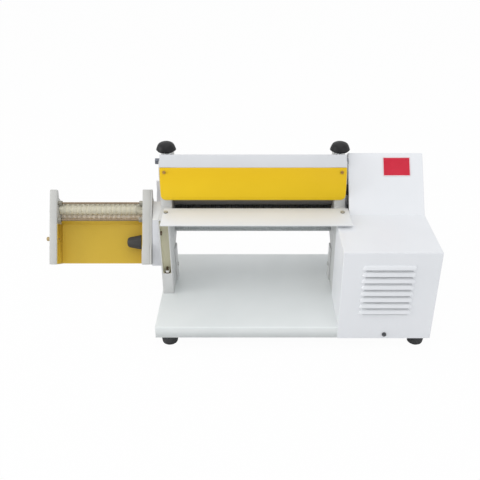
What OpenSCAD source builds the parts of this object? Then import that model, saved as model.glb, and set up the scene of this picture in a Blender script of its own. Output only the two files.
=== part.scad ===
// Electric pasta maker: motor-driven sheeting rollers on a folded steel base,
// with a clip-on noodle cutter at the left end.
// Modelling frame: X from the left edge of the base, Y from its front edge and
// Z from its top face. place() moves it to the part's own origin, the middle of
// the footprint at table height.

/* [Base] */
// Length of the base, left to right
base_w = 480; // [430:1:540]
// Depth of the base, front to back
base_d = 254; // [246:1:270]
// Height of the folded base
base_h = 22; // [18:1:30]
// Thickness of the painted sheet steel
sheet = 1.5; // [1:0.1:2]
// Widest diameter of a foot
foot_d = 32; // [24:1:34]
// Height of a foot
foot_h = 21.5; // [12:0.5:28]
// Distance of the left feet's centres from the left edge
foot_in_left = 23; // [20:1:30]
// Distance of the other feet's centres from the edges of the base
foot_inset = 20; // [19:1:30]

/* [Side frames] */
// Distance of the left side frame from the left edge of the base
frame_x = 3; // [2:0.5:6]
// Thickness of a side frame
frame_t = 20; // [18:0.5:22]
// Distance of the uprights from the front edge
upright_y = 106; // [105.5:0.5:110]
// Depth of an upright, front to back
upright_d = 46; // [42:1:48]
// Wall of the upright's channel
channel_wall = 2.5; // [2:0.1:3]
// Depth of the recess in the front of an upright
recess_d = 12; // [8:1:30]
// Height of the closed lower front of an upright
closure_h = 44; // [40:1:70]
// Rear edge of the bearing cheeks
cheek_rear = 238; // [234:1:240]
// Height of the bearing cheeks
cheek_top = 240; // [238:0.5:243]
// Height of the inner angle brackets
bracket_h = 70; // [40:1:75]

/* [Rollers] */
// Diameter of a roller
roller_d = 56; // [52:0.5:58]
// Distance of the roller axes from the front edge
roll_y = 205; // [203:0.5:207]
// Height of the lower roller's axis
roll_z = 111.5; // [108:0.5:113]
// Gap between the rollers at rest
roll_gap = 0.6; // [0.4:0.1:1]
// Travel of the upper roller, upwards
gap_travel = 5; // [3:0.5:5.5]
// Diameter of the journals
journal_d = 20; // [16:0.5:22]
// Outer diameter of the bearing bushes
bush_d = 28; // [26:0.5:30]
// Width of a sliding bearing block
block_w = 36; // [34:0.5:40]
// Height of a sliding bearing block
block_h = 52; // [50:0.5:54]

/* [Adjusting knobs] */
// Diameter of the adjusting screws
screw_d = 10; // [8:0.5:11]
// Diameter over the lobes of a knob
knob_d = 36.5; // [32:0.5:42]
// Height of a knob
knob_h = 18; // [17.5:0.5:20]
// Height of the underside of the knobs at rest
knob_z = 245.5; // [245:0.5:256]

/* [Feed tray and guard] */
// Distance of the tray's left end from the left edge of the base
tray_x = 10; // [6:0.5:11]
// Front edge of the tray
tray_front = 82; // [70:1:95]
// Rear edge of the flat of the tray
tray_rear = 147; // [145:0.5:152]
// Height of the top of the tray
tray_z = 158; // [156:0.5:162]
// Thickness of the tray sheet
tray_t = 2; // [1.5:0.1:2.5]
// How far the guard and the top beam stop short of the frame's left end
guard_in_x = 2; // [1:0.5:4]
// Gap between the right end of guard and beam and the cover
guard_gap_x = 6.5; // [4:0.5:8]
// Radius of the guard's bulge
guard_r = 78; // [60:1:80]
// Radius of the guard's lower corners
guard_corner = 9.5; // [6:0.5:20]
// Height of the guard's lower edge
guard_low = 171; // [168:0.5:173]
// Height of the joint between guard and top beam
beam_z = 232; // [231:0.5:233]
// Slant height of the top beam's front face
beam_h = 22; // [18:1:24]
// Sheet of the top beam
beam_t = 2.5; // [2:0.1:3]

/* [Motor cover] */
// Width of the cover's lower front
cover_front_w = 162; // [158:1:170]
// Width of the cover's upper part
cover_w = 136; // [135:1:146]
// Gap between the side frame and the cover
cover_gap = 5; // [4:0.5:8]
// Height of the flat top of the lower front
box_h = 151; // [148:0.5:152]
// Depth of the flat top of the lower front
box_d = 134; // [128:1:138]
// Height of the cover's ridge
ridge_z = 241; // [238:1:250]
// Distance of the ridge from the front edge
ridge_y = 205; // [200:1:208]
// Height of the cover's rear edge
rear_edge_z = 200; // [195:1:210]
// Number of louvres
louvre_n = 8; // [4:1:8]
// Spacing of the louvres
louvre_pitch = 12.6; // [12:0.1:13]
// Length of a louvre
louvre_w = 90; // [70:1:100]
// How far a louvre stands out
louvre_out = 4; // [3:0.5:5]

/* [Drive] */
// Module of the reduction gears
drive_m = 1.5; // [1.4:0.05:1.5]
// Teeth of the main gear
main_teeth = 48; // [44:2:48]
// Teeth of the pinion
pinion_teeth = 12; // [12:1:14]
// Width of the gears
gear_w = 12; // [10:0.5:13]
// Pitch diameter of the driven pulley
pulley_d = 80; // [70:1:84]
// Pitch diameter of the motor pulley
motor_pulley_d = 28; // [26:1:34]
// Diameter of the motor
motor_d = 96; // [86:1:100]
// Gap between the motor and the cover's right side
motor_gap = 4.5; // [3:0.5:12]

/* [Noodle cutter] */
// Length of the cutting rolls
cut_len = 158.5; // [140:0.5:170]
// Thickness of the outer end plate
end_plate_t = 14; // [12:0.5:18]
// Thickness of the gear case
case_t = 18; // [18:0.5:24]
// Lean of the cutter's front face, degrees
cut_lean = 30; // [27:0.5:32]
// Height of the cutter's front lower corner
cut_low = 51.5; // [50:0.5:56]
// Depth of the coupling cover, left to right
coupling_t = 20; // [17:0.5:22]
// Diameter over the cutting discs
cut_disc_d = 22.4; // [22:0.1:22.6]
// Depth of the grooves between the cutting discs
cut_groove = 1.8; // [1.6:0.1:1.9]
// Width of one cutting disc
cut_disc_w = 4.5; // [4:0.5:9]
// Diameter of the tie rods
rod_d = 4; // [3.5:0.5:5]
// Diameter of the lock knob
lock_d = 28; // [22:1:28]
// Length of the lock knob
lock_len = 28; // [20:1:32]

/* [Hidden] */
$fn = 64;

// Colours of the painted, plated and moulded finishes
paint_white = [0.93, 0.94, 0.95];
paint_yellow = [0.91, 0.76, 0.16];
steel = [0.70, 0.71, 0.72];
dark_steel = [0.42, 0.43, 0.45];
bronze = [0.72, 0.56, 0.32];
black_plastic = [0.16, 0.16, 0.17];
badge_red = [0.78, 0.12, 0.20];

// Clearances between fitted pieces
seat_fit = 0.03;
run_fit = 0.05;
slide_fit = 0.1;
loose_fit = 0.3;
side_gap = 0.5;
stop_gap = 1;
thread_gap = 0.15;

// Side frames and rollers, between the left edge and the motor cover
cover_x = base_w - cover_front_w;
cover_mid_x = base_w - cover_w;
frame_end = cover_mid_x - cover_gap;
frame_w = frame_end - frame_x;
guard_w = cover_mid_x - guard_gap_x - frame_x - guard_in_x;
tray_gap = 1;
tray_w = cover_mid_x - tray_gap - tray_x;
left_in = frame_x + frame_t;
right_in = frame_end - frame_t;
cheek_mid = [frame_x + frame_t / 2, frame_end - frame_t / 2];
roller_r = roller_d / 2;
roller_x = left_in + side_gap;
roller_len = right_in - left_in - 2 * side_gap;
upper_z = roll_z + roller_d + roll_gap;
lower_axis = [roll_y, roll_z];
upper_axis = [roll_y, upper_z];
upright_rear = upright_y + upright_d;
upright_h = tray_z - tray_t;
cheek_foot_d = 24;
belly_z = 70;
belly_rise = 28;
cheek_step = upright_rear + 7;
window_low = upper_z - block_h / 2 - stop_gap;
window_top = upper_z + block_h / 2 + gap_travel + stop_gap;
nut_d = screw_d + 8;
nut_h = 20;
collar_d = screw_d + 6;
collar_h = 4;
collar_z = upper_z + block_h / 2 - 3 - collar_h;
bracket_t = 2.5;
base_bolt_d = 6;
base_bolt_y = [upright_rear + 6.5, upright_rear + cheek_foot_d - 6.5];
small_screw = 4;
stud_h = 11;
stud_washer = 11;
stud_nut = 8;
ledge_screw_y = upright_y + recess_d / 2;
side_screw_z = upright_h - 30;
bracket_screw_y = upright_rear + 13;
bracket_screw_z = 30;

// Top beam: a front leg, a narrow ridge and a rear leg that stands on the cheeks
beam_lean = 60;
beam_x = frame_x + guard_in_x;
beam_low = [cheek_step + 2, beam_z];
beam_dir = [cos(beam_lean), sin(beam_lean)];
beam_in = [sin(beam_lean), -cos(beam_lean)];
beam_ridge = beam_low + beam_h * beam_dir;
ridge_land = 3;
beam_foot_y = roll_y - screw_d / 2 - 6;
beam_low_in = beam_low + beam_t * beam_in;
function on_beam_front(z) = [beam_low_in[0] + (z - beam_low_in[1]) / tan(beam_lean), z];
beam_rear_slope = atan2(beam_ridge[1] - cheek_top, beam_foot_y - beam_ridge[0] - ridge_land);
tie_pos = [roll_y - nut_d / 2 - 9, cheek_top - 7];
tie_d = 12;
tie_bolt_d = 6;
hex_af = 10;
hex_h = [8.5, 4];

// Guard: an arc from the beam's lower edge down to its own lower edge
guard_gap = 0.4;
guard_top = beam_low - [0, guard_gap];
guard_bottom = [beam_low[0] - 7, guard_low];
guard_chord = guard_bottom - guard_top;
guard_half = norm(guard_chord) / 2;
guard_in = [-guard_chord[1], guard_chord[0]] / norm(guard_chord);
guard_mid = (guard_top + guard_bottom) / 2;
guard_centre = guard_mid + sqrt(guard_r * guard_r - guard_half * guard_half) * guard_in;
guard_screw_z = beam_z - 8;
guard_screw_y = guard_centre[0] - sqrt(pow(guard_r, 2) - pow(guard_screw_z - guard_centre[1], 2));
guard_screw_pos = [guard_screw_y, guard_screw_z];
guard_screw_dir = (guard_screw_pos - guard_centre) / guard_r;
guard_screw_turn = atan2(guard_screw_dir[1], guard_screw_dir[0]) - 90;
cheek_bend = 12;
cheek_knee = [cheek_step, beam_low_in[1] - cheek_bend];
cheek_slope = (beam_low_in - cheek_knee) / norm(beam_low_in - cheek_knee);
guard_screw_d = 3;
guard_screw_bite = 10;
guard_screw_lift = 0.2;
guard_shoulder_gap = 0.6;

// Tray
tray_screw_y = 130;
tray_screw_in = 2;
tray_screw_x = [for (x = cheek_mid) x + tray_screw_in];
tray_bite = 10;
apron_clear = 2;
apron_angle = 137;
apron_x = left_in + side_gap;
apron_w = right_in - left_in - 2 * side_gap;

// Motor cover
skirt = sheet + loose_fit;
cover_front_d = upright_y - 2;
ridge_flat = 2;
cover_profile = [[0, -base_h], [0, box_h], [box_d, box_h], [ridge_y, ridge_z],
  [ridge_y + ridge_flat, ridge_z], [base_d, rear_edge_z], [base_d, -base_h]];
side_rim = 3;
side_open_low = 45;
side_open_top = ridge_z - 12;
side_open_rear = base_d - 15;
slope_angle = atan2(ridge_z - box_h, ridge_y - box_d);
louvre_x = (cover_x + base_w - louvre_w) / 2 - 3;
louvre_low = 31.6;
louvre_h = 8;
louvre_drop = 3.5;
louvre_end = 6;
louvre_sheet = 1.2;
cover_screw_z = -base_h / 2 - 2;
cover_screw_d = 4;
front_screw_x = (cover_x + base_w) / 2;
side_screw_y = [60, 190];
panel_rim = 12;
panel_lap = 6;
panel_low = 14;
panel_screw_in = 4;
vent_n = 6;
vent_pitch = 11;
vent_h = 4;
vent_z = 95;
badge_w = 50;
badge_h = 35.5;
badge_t = 1;
badge_in = 73;
badge_x = base_w - badge_in;
badge_along = 71.8;
gland_in = 40;
gland_pos = [base_w - gland_in, 34];
gland_d = 18;
gland_out = 12;
gland_bore = 8;
switch_pos = [195, 160];
switch_w = 22;
switch_tall = 28;
switch_deep = 20;
bezel = 3;
bezel_t = 2;
rocker_proud = 3;
rocker_tip = 9;

// Drive train, stage by stage along X
stage_gap = 4;
roll_gear_x = cover_mid_x + sheet + 2.5;
main_gear_x = roll_gear_x + gear_w + stage_gap;
lower_end_x = main_gear_x + gear_w + 6;
upper_end_x = roll_gear_x + gear_w + 2;
ear_t = 6;
ear_x = main_gear_x + gear_w + stage_gap;
pulley_w = 16;
pulley_x = ear_x + ear_t + 2;
far_ear_x = pulley_x + pulley_w + 2;
lay_d = 12;
lay_centre = drive_m * (main_teeth + pinion_teeth) / 2;
lay_angle = 243.5;
lay_axis = lower_axis + (lay_centre + 0.05) * [cos(lay_angle), sin(lay_angle)];
motor_axis = [75, 63];
motor_x = far_ear_x + 2;
motor_len = base_w - sheet - motor_gap - motor_x;
motor_shaft_d = 12;
belt_w = 10;
belt_t = 6;
belt_x = pulley_x + (pulley_w - belt_w) / 2;
pressure_angle = 25;
backlash = 0.3;
lay_turn = lay_angle;
roll_teeth = 16;
roll_gear_m = roller_d / roll_teeth;
cap_d = 34;
cap_len = 62;
cap_pos = [cover_mid_x + 19, 40];

// Noodle cutter, in the plane of its leaning front face: s runs up that face
// from its lower corner and t runs straight back from it
cut_front = 126.13;
cut_fold_s = 96.73;
cut_top_lean = 33;
cut_top_rise = 36.5;
cut_top_t = 8;
cut_neck = [30, 14];
cut_depth = 40;
cut_back = 17;
cut_boss = [cut_back, 16.5];
function lean_at(s, t) = [cut_front + s * sin(cut_lean) + t * cos(cut_lean),
  cut_low + s * cos(cut_lean) - t * sin(cut_lean)];
cut_fold = lean_at(cut_fold_s, 0);
// Above the fold the face leans a little further back
top_dir = [sin(cut_top_lean), cos(cut_top_lean)];
function top_at(s, t) = cut_fold + s * top_dir + t * [top_dir[1], -top_dir[0]];
cut_top_len = cut_top_rise / cos(cut_top_lean);
cut_top = top_at(cut_top_len, 0);
cut_upper = [cut_fold, cut_top, top_at(cut_top_len, cut_top_t), top_at(cut_neck[0], cut_neck[1]),
  lower_axis + cut_boss, [roll_y + cut_back, roll_z - 18], lean_at(0, cut_depth)];
cut_profile = concat([[cut_front, cut_low]], cut_upper);
// The gear case's foot steps forward below the lock
case_out = 8;
case_step = [23.73, 39.73];
case_profile = concat([lean_at(0, -case_out), lean_at(case_step[0], -case_out),
  lean_at(case_step[1], 0)], cut_upper);
coupling_low = cut_low - 3;
coupling_fold_s = 82.73;
coupling_fold = lean_at(coupling_fold_s, 0);
coupling_top_lean = 50;
coupling_top_len = 38;
coupling_crest = coupling_fold + coupling_top_len * [sin(coupling_top_lean), cos(coupling_top_lean)];
coupling_rear = cheek_rear - 4;
coupling_profile = [[cut_front, coupling_low], coupling_fold, coupling_crest,
  [coupling_rear, coupling_crest[1] - 18], [coupling_rear, coupling_low]];
tower_t = 13.4;
tower_h = 20;
tower_foot = cut_fold + [34, 28.5];
tower_profile = [[coupling_crest[0], roll_z], coupling_crest, tower_foot + [0, 1],
  tower_foot + [0, tower_h], tower_foot + [5, tower_h], [coupling_rear, tower_foot[1] - 3],
  [coupling_rear, roll_z]];
coupling_x = frame_x - coupling_t;
coupling_wall = 2;
dock_gap = 0.5;
case_x = coupling_x - dock_gap - case_t;
lid_t = 3;
cut_x = case_x - side_gap - cut_len;
plate_x = cut_x - side_gap - end_plate_t;
cut_gear_m = 1.3;
cut_teeth = 16;
cut_centre = cut_gear_m * cut_teeth + 0.1;
cut_angle = 112;
front_cut_axis = lower_axis + cut_centre * [cos(cut_angle), sin(cut_angle)];
cut_pitch = 2 * cut_disc_w + 0.4;
cut_discs = floor((cut_len - 4) / cut_pitch);
cut_margin = (cut_len - cut_discs * cut_pitch) / 2;
cut_shaft_d = 10;
cut_gear_w = 10;
cut_gear_x = case_x + 4;
tongue_w = 6;
tongue_len = 8;
socket_x = coupling_x + 4;
rod_up_s = 18.9;
rod_up_in = 10;
rod_low_s = 83.53;
rod_low_in = 7;
rod_up = top_at(rod_up_s, rod_up_in);
rod_low = lean_at(rod_low_s, rod_low_in);
rod_nut_d = 10;
rod_nut_t = 7;
rod_seat = 6;
lock_s = 41.73;
lock_in = 16;
lock_pos = lean_at(lock_s, lock_in);
lock_stud_d = 8;
lock_seat = 10;
chute_t = 1.5;
chute_back = 33;
chute_front = 3;
chute_low = 1;
chute_high = 75.73;
chute_lip = [9, -11];
chute_bend = atan2(-chute_lip[1], chute_lip[0]);
chute_pos_s = 47.73;
chute_pos_in = 10;
chute_pos = lean_at(chute_pos_s, chute_pos_in);
cap_h = 8;

// The part's origin: middle of the footprint, on the table
left_end = plate_x - cap_h;
right_end = base_w + bezel_t + rocker_proud;
front_end = -louvre_out;
rear_end = base_d + sheet + gland_out;
module place() {
  translate([-(left_end + right_end) / 2, -(front_end + rear_end) / 2, foot_h + base_h]) children();
}

// Building blocks
module along_x(x, len) {
  translate([x, 0, 0]) rotate([90, 0, 90]) linear_extrude(len) children();
}
module bar_x(x, len, p, d) {
  along_x(x, len) translate(p) circle(d = d);
}
module slab(lo, hi) {
  translate(lo) cube(hi - lo);
}
// Distance from the guard's face to the cheek along a guard screw
guard_reach = norm(meet(guard_screw_pos, guard_screw_dir, cheek_knee, cheek_slope) - guard_screw_pos);
// A line of the outline moved inwards, met with the next one
function edge_dir(a, b) = (b - a) / norm(b - a);
function meet(p, u, q, v) = p + u * ((q - p)[0] * v[1] - (q - p)[1] * v[0]) / (u[0] * v[1] - u[1] * v[0]);
function inset(pts, d) = [for (i = [0:len(pts) - 1])
  let (n = len(pts), a = pts[(i + n - 1) % n], b = pts[i], c = pts[(i + 1) % n],
    u = edge_dir(a, b), v = edge_dir(b, c))
  meet(b + d * [u[1], -u[0]], u, b + d * [v[1], -v[0]], v)];
// Slotted pan-head screw, head up from z = 0 and shank down
module pan_screw(d, len) {
  difference() {
    union() {
      cylinder(d = 1.9 * d, h = 0.6 * d);
      translate([0, 0, -len]) cylinder(d = d, h = len);
    }
    translate([-d, -0.1 * d, 0.35 * d]) cube([2 * d, 0.2 * d, d]);
  }
}
module facing_front() {
  rotate([90, 0, 0]) children();
}
module facing_right() {
  rotate([0, 90, 0]) children();
}
module facing_left() {
  rotate([0, -90, 0]) children();
}
module facing_rear() {
  rotate([-90, 0, 0]) children();
}
// Involute spur gear outline with a tooth centred at the angle turn
function inv_deg(a) = tan(a) * 180 / PI - a;
module gear_2d(m, n, turn) {
  rp = m * n / 2;
  rb = rp * cos(pressure_angle);
  ra = rp + m;
  rr = rp - 1.25 * m;
  r0 = max(rb, rr) + 0.02;
  half = (PI * m / 2 - backlash) / (2 * rp) * 180 / PI;
  radii = [for (k = [0:3]) r0 + (ra - r0) * k / 3];
  off = [for (r = radii) half + inv_deg(pressure_angle) - inv_deg(acos(rb / r))];
  polygon([for (i = [0:n - 1]) let (c = turn + 360 * i / n) each concat(
    [rr * [cos(c - off[0]), sin(c - off[0])]],
    [for (k = [0:3]) radii[k] * [cos(c - off[k]), sin(c - off[k])]],
    [for (k = [3:-1:0]) radii[k] * [cos(c + off[k]), sin(c + off[k])]],
    [rr * [cos(c + off[0]), sin(c + off[0])]])]);
}
module gear_x(x, len, p, m, n, turn, bore) {
  along_x(x, len) translate(p) difference() {
    gear_2d(m, n, turn);
    circle(d = bore + 2 * seat_fit);
  }
}

// Base
function foot_places() = [for (x = [foot_in_left, base_w - foot_inset])
  for (y = [foot_inset, base_d - foot_inset]) [x, y]];
gusset = max(foot_inset, foot_in_left) + foot_d / 2 + 4;
foot_spigot = 8;
module cover_screw_spots() {
  translate([front_screw_x, 0, cover_screw_z]) facing_front() children();
  translate([front_screw_x, base_d, cover_screw_z]) facing_rear() children();
  for (y = side_screw_y) translate([base_w, y, cover_screw_z]) facing_right() children();
}
module base_plate() color(paint_white) difference() {
  union() {
    difference() {
      slab([0, skirt, -base_h], [base_w - skirt, base_d - skirt, 0]);
      slab([sheet, skirt + sheet, -base_h - 1], [base_w - skirt - sheet, base_d - skirt - sheet, -sheet]);
    }
    for (x = [0, base_w - skirt - gusset]) for (y = [skirt, base_d - skirt - gusset])
      slab([x, y, -base_h], [x + gusset, y + gusset, -base_h + sheet]);
  }
  for (p = foot_places()) translate([p[0], p[1], -base_h - 1])
    cylinder(d = foot_spigot + 2 * slide_fit, h = sheet + 2);
  cover_screw_spots() translate([0, 0, -12]) cylinder(d = cover_screw_d + 2 * loose_fit, h = 12);
  base_bolt_spots() translate([0, 0, -sheet - 1]) cylinder(d = base_bolt_d + 2 * loose_fit, h = sheet + 2);
}
module rubber_feet() color(black_plastic) for (p = foot_places()) translate([p[0], p[1], -base_h]) {
  rotate_extrude() polygon([[0, -foot_h], [foot_d / 2 - 4.5, -foot_h], [foot_d / 2 - 2.5, -foot_h + 2],
    [foot_d / 2, -3], [foot_d / 2, 0], [0, 0]]);
  cylinder(d = foot_spigot, h = sheet + 2);
}

// Side frames
module upright(x, outer_x) {
  difference() {
    slab([x, upright_y, 0], [x + frame_t, upright_rear, upright_h]);
    slab([x + channel_wall, upright_y - 1, closure_h],
      [x + frame_t - channel_wall, upright_y + recess_d, upright_h - channel_wall]);
    slab([x + channel_wall, upright_y + channel_wall, -1],
      [x + frame_t - channel_wall, upright_rear - channel_wall, closure_h - channel_wall]);
    translate([x + frame_t / 2 + tray_screw_in, tray_screw_y, upright_h - tray_bite])
      cylinder(d = small_screw + 2 * thread_gap, h = tray_bite + 1);
    bar_x(outer_x - 1, channel_wall + 2, [ledge_screw_y, side_screw_z], small_screw + 2 * thread_gap);
    translate([x + frame_t / 2, ledge_screw_y, closure_h - channel_wall - 1])
      cylinder(d = small_screw + 2 * thread_gap, h = channel_wall + 2);
  }
}
module left_upright() color(paint_white) upright(frame_x, frame_x);
module right_upright() color(paint_white) upright(right_in, frame_end - channel_wall);
cheek_outline = [[upright_rear, 0], [upright_rear, upright_h], [cheek_step, upright_h],
  cheek_knee, beam_low_in, on_beam_front(cheek_top), [cheek_rear, cheek_top],
  [cheek_rear, belly_z + belly_rise], [upright_rear + cheek_foot_d, belly_z],
  [upright_rear + cheek_foot_d, 0]];
module cheek(x) {
  difference() {
    along_x(x, frame_t) difference() {
      polygon(cheek_outline);
      translate([roll_y - block_w / 2 - slide_fit, window_low])
        square([block_w + 2 * slide_fit, window_top - window_low]);
      translate(lower_axis) circle(d = bush_d + 2 * seat_fit);
      translate(tie_pos) circle(d = tie_bolt_d + 2 * loose_fit);
    }
    translate([x + frame_t / 2, roll_y, window_top - 1]) {
      cylinder(d = screw_d + 2 * loose_fit, h = cheek_top);
      translate([0, 0, cheek_top - nut_h - window_top + 1])
        cylinder(d = nut_d + 2 * seat_fit, h = nut_h + 1);
    }
    guard_screw_axis(x + frame_t / 2) translate([0, 0, -guard_reach - guard_screw_bite - 1])
      cylinder(d = guard_screw_d + 2 * thread_gap, h = guard_reach + guard_screw_bite + 1);
    for (y = base_bolt_y) translate([x + frame_t / 2, y, -1])
      cylinder(d = base_bolt_d + 2 * thread_gap, h = 16);
  }
}
module left_cheek() color(paint_white) difference() {
  cheek(frame_x);
  bar_x(frame_x - 1, lock_seat + 3, lock_pos, lock_stud_d + 2 * thread_gap);
}
module right_cheek() color(paint_white) cheek(right_in);
module bracket(x, way) {
  x_far = x + way * bracket_t;
  difference() {
    slab([min(x, x_far), upright_rear + 1, 0], [max(x, x_far), upright_rear + cheek_foot_d, bracket_h]);
    translate([x, bracket_screw_y, bracket_screw_z]) facing_right()
      cylinder(d = small_screw + 2 * thread_gap, h = 4 * bracket_t, center = true);
  }
}
module frame_brackets() color(paint_white) {
  bracket(left_in, 1);
  bracket(right_in, -1);
}
module base_bolt_spots() {
  for (x = cheek_mid) for (y = base_bolt_y) translate([x, y, -sheet]) rotate([180, 0, 0]) children();
}
// Stud through the ledge, with a washer and a nut
module ledge_stud() {
  translate([0, 0, -channel_wall - 2]) cylinder(d = small_screw, h = channel_wall + 2 + stud_h);
  cylinder(d = stud_washer, h = 1.2);
  cylinder(d = stud_nut / cos(30), h = 5.2, $fn = 6);
}
module frame_screws() color(bronze) {
  base_bolt_spots() pan_screw(base_bolt_d, sheet + 14);
  for (x = cheek_mid) translate([x, ledge_screw_y, closure_h]) ledge_stud();
  translate([frame_x + channel_wall, ledge_screw_y, side_screw_z]) facing_right()
    pan_screw(small_screw, channel_wall);
  translate([frame_end - channel_wall, ledge_screw_y, side_screw_z]) facing_left()
    pan_screw(small_screw, channel_wall);
  translate([left_in + bracket_t, bracket_screw_y, bracket_screw_z]) facing_right()
    pan_screw(small_screw, bracket_t);
  translate([right_in - bracket_t, bracket_screw_y, bracket_screw_z]) facing_left()
    pan_screw(small_screw, bracket_t);
}
module tie_bar() color(steel) bar_x(left_in, right_in - left_in, tie_pos, tie_d);
module tie_bolts() color(dark_steel) {
  translate([frame_x, tie_pos[0], tie_pos[1]]) facing_left()
    cylinder(d = hex_af / cos(30), h = hex_h[0], $fn = 6);
  translate([frame_end, tie_pos[0], tie_pos[1]]) facing_right()
    cylinder(d = hex_af / cos(30), h = hex_h[1], $fn = 6);
  for (x = [frame_x, right_in]) bar_x(x, frame_t, tie_pos, tie_bolt_d);
}
module top_beam() color(paint_white) along_x(beam_x, guard_w) polygon([beam_low, beam_ridge,
  beam_ridge + [ridge_land, 0], [beam_foot_y, cheek_top],
  [beam_foot_y - beam_t / sin(beam_rear_slope), cheek_top],
  beam_ridge + [ridge_land - beam_t * tan(beam_rear_slope / 2), -beam_t],
  on_beam_front(beam_ridge[1] - beam_t), beam_low_in]);
module roller_guard() color(paint_yellow) {
  reach = 2 * guard_r;
  up = edge_dir(guard_centre, guard_top);
  down = edge_dir(guard_centre, guard_bottom);
  difference() {
    intersection() {
      along_x(beam_x, guard_w) intersection() {
        translate(guard_centre) difference() {
          circle(r = guard_r, $fn = 128);
          circle(r = guard_r - sheet, $fn = 128);
        }
        polygon([guard_centre, guard_centre + reach * up, guard_centre + [-2 * reach, 0],
          guard_centre + reach * down]);
      }
      translate([beam_x, guard_centre[0], 0]) rotate([90, 0, 0]) linear_extrude(guard_r + 5) {
        translate([0, guard_low + guard_corner - 4]) square([guard_w, beam_z]);
        translate([guard_corner, guard_low - 4]) square([guard_w - 2 * guard_corner, guard_corner + 1]);
        for (x = [guard_corner, guard_w - guard_corner])
          translate([x, guard_low + guard_corner - 4]) circle(r = guard_corner);
      }
    }
    for (x = cheek_mid) guard_screw_axis(x) translate([0, 0, -4 * sheet])
      cylinder(d = guard_screw_d + 2 * thread_gap, h = 8 * sheet);
  }
}
module guard_screw_axis(x) {
  translate([x, guard_screw_y, guard_screw_z]) rotate([guard_screw_turn, 0, 0]) children();
}
// Each guard screw has a shoulder between guard and cheek
module guard_screws() color(steel) for (x = cheek_mid) guard_screw_axis(x) {
  translate([0, 0, guard_screw_lift]) pan_screw(guard_screw_d, guard_reach + guard_screw_bite);
  translate([0, 0, guard_shoulder_gap - guard_reach])
    cylinder(d = 1.75 * guard_screw_d, h = guard_reach - guard_shoulder_gap - sheet - guard_screw_lift);
}

// Feed tray: flat sheet with a front lip and an apron that leads down to the nip
module feed_tray() color(paint_white) {
  toward = [cos(apron_angle), sin(apron_angle)];
  low_edge = lower_axis + (roller_r + apron_clear) * toward;
  difference() {
    union() {
      slab([tray_x, tray_front, tray_z - tray_t], [tray_x + tray_w, tray_rear, tray_z]);
      along_x(apron_x, apron_w) polygon([[tray_rear - 1, tray_z], low_edge + tray_t * toward, low_edge,
        [tray_rear - 1, tray_z - tray_t]]);
    }
    for (x = tray_screw_x) translate([x, tray_screw_y, tray_z - tray_t - 1])
      cylinder(d = small_screw + 2 * thread_gap, h = tray_t + 2);
  }
}
module tray_screws() color(steel) for (x = tray_screw_x)
  translate([x, tray_screw_y, tray_z]) pan_screw(small_screw, tray_t + tray_bite - 1);

// Bearings and adjusters
module lower_bushes() color(bronze) for (x = [frame_x, right_in]) difference() {
  bar_x(x, frame_t, lower_axis, bush_d);
  bar_x(x - 1, frame_t + 2, lower_axis, journal_d + 2 * run_fit);
}
module adjuster_nuts() color(bronze) for (x = cheek_mid)
  translate([x, roll_y, cheek_top - nut_h]) difference() {
    cylinder(d = nut_d, h = nut_h);
    translate([0, 0, -1]) cylinder(d = screw_d + 2 * thread_gap, h = nut_h + 2);
  }
module bearing_block(x, outward) {
  difference() {
    along_x(x, frame_t) difference() {
      translate(upper_axis - [block_w, block_h] / 2) square([block_w, block_h]);
      translate(upper_axis) circle(d = journal_d + 2 * run_fit);
    }
    translate([x + frame_t / 2, roll_y, 0]) {
      translate([0, 0, collar_z - loose_fit]) t_slot(collar_d, collar_h + 2 * loose_fit, outward);
      translate([0, 0, collar_z]) t_slot(screw_d, block_h, outward);
    }
  }
}
// Slot open to one side, so the screw's collar slips in
module t_slot(d, h, outward) {
  w = d + 2 * loose_fit;
  cylinder(d = w, h = h);
  translate([outward < 0 ? -frame_t : 0, -w / 2, 0]) cube([frame_t, w, h]);
}
module bearing_blocks() color(bronze) {
  bearing_block(frame_x, -1);
  bearing_block(right_in, 1);
}
knob_neck = 1;
knob_grip = 10;
module adjusting_screw(x) {
  translate([x, roll_y, 0]) {
    translate([0, 0, collar_z]) cylinder(d = screw_d, h = knob_z + knob_grip - collar_z);
    translate([0, 0, collar_z]) cylinder(d = collar_d, h = collar_h);
  }
}
// Six-lobed grip that narrows upwards, with a low dome on top and a short cone below
module lobed_knob(d, h, neck, bore, grip) {
  lobe = d * 0.21;
  dome = d * 0.66;
  difference() {
    union() {
      intersection() {
        translate([0, 0, neck]) linear_extrude(h) {
          circle(d = d * 0.93);
          for (a = [0:60:300]) rotate(a) translate([d / 2 - lobe, 0]) circle(r = lobe);
        }
        translate([0, 0, h - dome]) sphere(r = dome, $fn = 96);
        translate([0, 0, neck]) cylinder(d1 = d * 0.85, d2 = d * 2.06, h = h - neck);
        cylinder(d1 = d * 1.055, d2 = d * 0.685, h = h);
      }
      cylinder(d = d * 0.42, h = neck + 1);
    }
    translate([0, 0, -1]) cylinder(d = bore + 2 * run_fit, h = grip + 1);
  }
}
module adjusting_knob(x) {
  translate([x, roll_y, knob_z]) lobed_knob(knob_d, knob_h, knob_neck, screw_d, knob_grip);
}
module left_screw() color(steel) adjusting_screw(cheek_mid[0]);
module right_screw() color(steel) adjusting_screw(cheek_mid[1]);
module left_knob() color(black_plastic) adjusting_knob(cheek_mid[0]);
module right_knob() color(black_plastic) adjusting_knob(cheek_mid[1]);

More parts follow.
